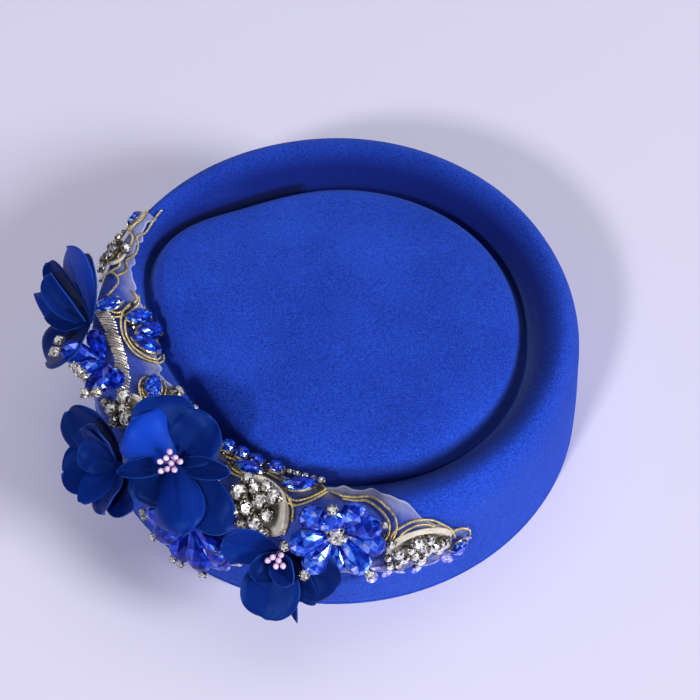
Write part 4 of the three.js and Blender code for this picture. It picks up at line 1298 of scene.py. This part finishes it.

# Each flower looks along faceAngle (compass) and faceRise (above level). Petals are rows of
# turn, length, width, rise, bend, cup, curl, point, dye: turn 0 is towards growing angle and 90
# is up; rise and bend are the slope at the root and its change; cup lifts the sides; curl rolls
# the far edge back; point draws the tip out; dye is each petal's painted brightness, standing in for how
# the light falls on it.
petalMake = {
    "rows": 30,
    "columns": 23,
    "thickness": 0.55,
    "veins": 0.07,
    "ruffle": 0.75,
    "height": 6.5,       # middle of a flower above the felt
    "innerLift": 2.2,
    "layerLift": 0.15,   # each petal lies this much over the one before
}
flowers = {
    "flower_far": {
        "angle": 184, "reach": 8.6, "faceAngle": 185, "faceRise": 30, "ruffle": 0.2,
        "outer": [
            (186, 32, 12, 30, 6, 2, 0.4, 0, 0.12), (145, 27, 20, 14, 6, 1, 0.2, 0, 0.35),
            (162, 31, 26, 25, 2, -1, 0.1, 0, 0.75), (222, 35, 17, 31, -8, 2, 0.3, 1.15, 0.4),
            (297, 23, 31, 28, 6, 3, 0.6, 0, 0.2),
        ],
        "inner": [
            (176, 24, 13, 44, -6, 5, 0.3, 0.1, 0.3), (244, 18, 10, 48, -10, 2, 0.3, 0.9, 0.1),
        ],
    },
    "flower_left": {
        "angle": 218, "reach": 19.5, "faceAngle": 205, "faceRise": 38,
        "outer": [
            (181, 29, 20, 26, 8, 2.5, 0.6, 0, 0.14), (241, 24, 21, 28, 8, 2.5, 0.6, 0, 0.22),
            (289, 21, 14, 34, 6, 2, 0.5, 0.5, 0.4), (330, 22, 19, 30, 4, 2.5, 0.6, 0, 0.2),
            (352, 23, 16, 16, 4, 2.5, 0.6, 0, 0.1),
        ],
        "inner": [
            (165, 19, 13, 46, 6, 3, 0.5, 0, 0.16), (196, 15, 15, 50, 2, 3, 0.5, 0, 0.3),
            (126, 20, 14, 44, 6, 3, 0.5, 0, 0.12),
        ],
    },
    "flower_top": {
        "angle": 230, "reach": 8.7, "faceAngle": 250, "faceRise": 60,
        "outer": [
            (116, 26, 25, 10, 4, 2, 0.6, 0, 0.3), (62, 23, 21, 14, 6, 3, 0.6, 0, 0.22),
            (8, 23, 9, 12, 4, 3, 0.3, 0.3, 0.14), (327, 32, 18, 4, 6, 2, 0.6, 0, 0.2),
            (241, 19, 16, 8, 6, 2, 0.6, 0, 0.06), (206, 21, 8, 16, 4, 3, 0.4, 0.3, 0.14),
        ],
        "inner": [
            (152, 23, 23, 26, -6, -5, 0.9, 0, 0.95), (298, 28, 19, 22, -4, -3, 0.8, 0, 0.42),
        ],
    },
    "flower_lower": {
        "angle": 258, "reach": 19, "faceAngle": 262, "faceRise": 38,
        "outer": [
            (170, 21, 14, 10, 6, 2, 0.5, 0, 0.35), (263, 25, 22, 16, 8, 2.5, 0.6, 0, 0.24),
            (290, 27, 7, 8, 4, 2, 0.3, 0.9, 0.16), (334, 25, 20, 2, 6, 2, 0.6, 0, 0.12),
            (309, 24, 11, 4, 4, 2, 0.6, 0.5, 0.1),
        ],
        "inner": [
            (226, 13, 11, 34, 2, 3, 0.5, 0, 0.12), (309, 13, 10, 40, 2, 4, 0.4, 0.2, 0.18),
        ],
    },
}


def flowerFrame(flower):
    a, e = math.radians(flower["faceAngle"]), math.radians(flower["faceRise"])
    normal = np.array([math.cos(e) * math.cos(a), math.cos(e) * math.sin(a), math.sin(e)])
    u = np.array([-math.sin(a), math.cos(a), 0])
    return onHat(flower["angle"], flower["reach"], petalMake["height"]), u, np.cross(normal, u), normal


def petalOutline(a, point):
    # half width along the petal, as a share of its widest
    near = 0.14 + 0.86 * np.sin(math.pi / 2 * clamped(a / 0.58)) ** 0.9
    far = np.sqrt(clamped(1 - (clamped(a - 0.58) / 0.42) ** 2.5))
    return near * far * (1 - point * clamped((a - 0.4) / 0.6) ** 1.2 * 0.8)


def petal(axes, shape, ruffle, lift, seed):
    origin, u, v, normal = axes
    turn, length, width, rise, bend, cup, curl, point, tone = shape
    chance = np.random.default_rng(seed)
    t = math.radians(turn)
    out = u * math.cos(t) + v * math.sin(t)
    side = np.cross(normal, out)
    # the spine climbs by its slope, and its far end rolls back
    spine = 1 - (1 - np.linspace(0, 1, petalMake["rows"]) * 0.996) ** 1.35
    slope = np.radians(rise + bend * spine - curl * 62 * clamped((spine - 0.66) / 0.34) ** 2)
    step = np.diff(spine, prepend=0) * length
    along, up = np.cumsum(step * np.cos(slope)), np.cumsum(step * np.sin(slope))
    wide = width / 2 * petalOutline(spine, point)
    even = np.linspace(-1, 1, petalMake["columns"])
    # a runs from the root to the tip, and b from edge to edge
    a, b = np.meshgrid(spine, np.sin(even * math.pi / 2) * 0.55 + even * 0.45, indexing="ij")
    share, fromMiddle = petalOutline(a, point), np.abs(b)
    lifted = cup * b ** 2 * share
    lifted -= curl * 2.3 * clamped((fromMiddle - 0.62) / 0.38) ** 2 * clamped(a / 0.4) * share
    phase = chance.uniform(0, 6.3, 4)
    edge = fromMiddle ** 2.2 * clamped((a - 0.15) / 0.5) + clamped((a - 0.8) / 0.2) ** 2
    waves = np.sin(a * 9 + phase[0] + b * 0.9) + 0.6 * np.sin(a * 15 + phase[1] - b * 1.4)
    tipWaves = np.sin(b * 4.2 + phase[2]) * clamped((a - 0.7) / 0.3)
    lifted += ruffle * (np.minimum(edge, 1) * waves * 0.7 + tipWaves * 0.5) * min(width, 20) / 20
    # a crease down the middle and finer side veins
    lifted -= 0.55 * np.exp(-(b / 0.09) ** 2) * clamped(1 - a * 0.9) * clamped(a / 0.12)
    veins = np.cos(b * 21 + a * 4 * np.sign(b)) * clamped(1 - a) * (fromMiddle > 0.07)
    lifted += petalMake["veins"] * veins
    lean = 0.10 * chance.uniform(-1, 1) * width * b * a
    centre = origin + along[:, None] * out + (up + lift)[:, None] * normal
    over = np.cos(slope)[:, None] * normal - np.sin(slope)[:, None] * out
    sway = 0.035 * length * math.sin(phase[3]) * spine ** 2
    points = (centre[:, None] + (b * wide[:, None] + sway[:, None])[..., None] * side
              + (lifted + lean)[..., None] * over[:, None])
    rim = np.maximum(clamped((fromMiddle - 0.94) / 0.06), clamped((a - 0.975) / 0.02))
    # painted shade: darker at the root and in the crease, on top of each petal's painted brightness
    dye = tone * (0.3 + 0.7 * clamped(a / 0.55)) * (1 - 0.35 * np.exp(-(b / 0.12) ** 2) * (1 - a))
    return points.reshape(-1, 3), gridFaces(*a.shape), np.stack([rim.ravel(), dye.ravel()], axis=-1)


def petalLayer(name, flower, layer, lift, seed):
    axes, ruffle = flowerFrame(flower), flower.get("ruffle", petalMake["ruffle"])
    points, faces, values = joined([
        petal(axes, shape, ruffle, lift + petalMake["layerLift"] * i, seed + i * 17)
        for i, shape in enumerate(flower[layer])
    ])
    piece = newPiece(f"{name}_{layer}_petals", points, faces, "petal", "petal", isClosed=False)
    for column, label in enumerate(("rim", "dye")):
        storeValues(piece, label, np.array(values)[:, column])
    wall = piece.modifiers.new("thickness", "SOLIDIFY")
    wall.thickness = petalMake["thickness"] * millimetre
    wall.offset = 0
    wall.use_rim = True
    soft = piece.modifiers.new("soft edges", "SUBSURF")
    soft.levels = soft.render_levels = 1
    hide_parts(f"{name}_{layer}")


for number, (name, flower) in enumerate(flowers.items()):
    petalLayer(name, flower, "outer", 0, 100 + number * 41)
    petalLayer(name, flower, "inner", petalMake["innerLift"], 300 + number * 41)
print("petals shaped")

stamenMake = {
    "thread": 0.25,
    "bulb": 1.12,
    "bulbLong": 3.0,
    "bulbShape": [(0.12, 0.6), (0.35, 0.92), (0.62, 1.0), (0.86, 0.72), (1.0, 0.2)],    # along, radius
    "lift": 3.6,
    "bundles": {"flower_top": (9, 3.6, 6.2), "flower_lower": (6, 2.6, 5.6)},      # count, spread, long
}


def makeStamens(name, count, spread, longest):
    origin, u, v, normal = flowerFrame(flowers[name])
    chance = np.random.default_rng(11)
    lift, shape = stamenMake["lift"], stamenMake["bulbShape"]
    radii = [stamenMake["thread"]] * 3 + [stamenMake["bulb"] * share for at, share in shape]
    parts = []
    for i in range(count):
        a = i * 2.4      # each stands a golden turn from the one before
        reach = spread * math.sqrt((i + 0.4) / count)
        out = u * math.cos(a) + v * math.sin(a)
        long = longest + chance.uniform(-0.8, 0.8)
        foot = origin + normal * 0.4 + out * reach * 0.25
        knee = origin + normal * (lift + long * 0.3) + out * reach * 0.7
        head = origin + normal * (lift + long * 0.55) + out * reach
        bulb = unit(head - knee) * stamenMake["bulbLong"]
        parts.append(tube([foot, knee, head] + [head + bulb * at for at, share in shape], radii, 10))
    points, faces, values = joined(parts)
    stamens = newPiece(name + "_stamen_bundle", points, faces, "stamen", "stamen")
    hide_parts(name + "_stamens")


for name, sizes in stamenMake["bundles"].items():
    makeStamens(name, *sizes)
print("stamens made")

seedRows = [       # angle, reach, size, height
    [176, -3.4, 1.8, 3.4], [184, -3.6, 1.8, 3.0], [188.6, -4, 1.8, 3.0], [186.6, -7.6, 1.8, 3.6],
    [202.6, -4.6, 1.8, 3.4], [205, 1, 1.6, 3.0], [209.4, -7, 1.6, 3.2], [214.6, -12.6, 1.6, 3.4],
    [238, -12, 1.7, 3.6], [242.6, -7.8, 1.7, 3.4], [247.4, -8, 1.7, 3.4], [240.6, -2.6, 1.8, 3.4],
    [249.6, -4.6, 1.8, 3.4], [256.6, -3, 1.9, 3.6], [264, -6, 1.9, 3.4], [265.4, -2.6, 2.6, 3.0],
    [280, 13.4, 1.8, 3.2], [279.4, 16.6, 1.6, 3.0], [295, 30.4, 1.8, 3.4], [298.6, 31.6, 1.6, 3.0],
    [282.6, 35, 1.8, 3.2], [286.6, 36.6, 1.6, 3.0], [169.6, 7, 1.6, 2.8], [153.4, 5, 1.6, 2.6],
]
sequinRows = [     # angle, reach, size, height
    [287, 38.2, 4.6, 2.6], [291, 37.4, 4.4, 2.5], [294.4, 38.6, 4.4, 2.6], [297, 37.4, 4.0, 2.5],
    [277.2, 38.2, 4.8, 2.8], [280.4, 36.6, 4.4, 2.8], [278, 31.4, 4.6, 3.0], [275.6, 34, 4.4, 3.0],
    [283.6, 37.6, 3.8, 2.6], [299.2, 30, 3.6, 2.8], [243, 45.5, 5, 3.4], [245.4, 43, 4.4, 3.2],
    [247, 39.6, 4.4, 3.4], [241, 47, 4, 3],
]


def unitBead():
    # a round seed bead with its hole along y, of unit width
    around, section = 12, 7
    a, s = np.meshgrid(*(np.arange(n) * 2 * math.pi / n for n in (around, section)), indexing="ij")
    r = 0.34 + 0.17 * np.cos(s)
    points = np.stack([r * np.cos(a), 0.3 * np.sin(s), r * np.sin(a)], axis=-1).reshape(-1, 3)
    faces = gridFaces(around, section, closed=True, looped=True)
    return unitPiece("unit_bead", points, faces, "crystal", isSmooth=True)


def unitSequin():
    # a faceted cup sequin of unit width with a hole in its middle
    sides = 10
    rings = [(0.10, 0.02), (0.28, 0.03), (0.5, 0.16), (0.5, 0.19), (0.27, 0.07), (0.10, 0.06)]
    faces = gridFaces(len(rings), sides, closed=True, looped=True)
    item = unitPiece("unit_sequin", lathed(rings, sides), faces, "sequin")
    # painted glints: a random brightness for each of the facets
    storeValues(item, "facet", np.random.default_rng(3).uniform(0, 1, len(faces)), "FACE")
    return item


for name, item, rows, seed, tilt, material, slot in (
    ("seed_beads", unitBead(), seedRows, 5, 0.4, "crystal", "rhinestone"),
    ("cup_sequins", unitSequin(), sequinRows, 9, 0.5, "sequin", "blue_drop"),
):
    setItems(name, item, *scattered(rows, np.random.default_rng(seed), 180, tilt), material, slot)
    bpy.data.objects.remove(item)
print("seed beads and sequins sewn on")

studio = {
    "floor": colour(0.66, 0.635, 0.80),
    "floorDrift": colour(0.65, 0.625, 0.79),
    "floorSize": 6.0,
    "floorGap": 0.0002,      # below the brim
    "world": colour(0.80, 0.80, 1.0),
    "worldStrength": 0.14,
    "lights": [     # name, stands (mm), looks at (mm), size (m), power (W)
        ("key", (2900, -1500, 1850), (0, 0, 20), 1.0, 129),
        ("front left", (-1250, -2300, 2150), (-20, -40, 20), 0.4, 60),
        ("overhead", (400, 1000, 3000), (0, 0, 0), 2.8, 28),
    ],
}


def floorLook(w):
    tone = noise(w, 2.0).between(0.2, 0.8)
    return {"Base Color": tone.blend(studio["floorDrift"], studio["floor"])}


def makeStudio():
    half, level = studio["floorSize"] / 2, float(hatCentre[2]) - studio["floorGap"]
    mesh = bpy.data.meshes.new("floor")
    corners = [(x * half, y * half, level) for x, y in ((-1, -1), (1, -1), (1, 1), (-1, 1))]
    mesh.from_pydata(corners, [], [(0, 1, 2, 3)])
    matte = {"Roughness": 0.9, "Specular IOR Level": 0.1}
    mesh.materials.append(finish("pale floor", floorLook, matte))
    floor = bpy.data.objects.new("floor", mesh)
    bpy.context.collection.objects.link(floor)
    world = bpy.data.worlds.new("studio")
    world.use_nodes = True
    back = world.node_tree.nodes["Background"]
    back.inputs["Color"].default_value = studio["world"]
    back.inputs["Strength"].default_value = studio["worldStrength"]
    bpy.context.scene.world = world
    for name, stands, looksAt, size, power in studio["lights"]:
        data = bpy.data.lights.new(name, "AREA")
        data.size = size
        data.energy = power
        stood(name, data, stands, looksAt)
    bpy.context.scene.view_settings.view_transform = "Standard"


makeStudio()
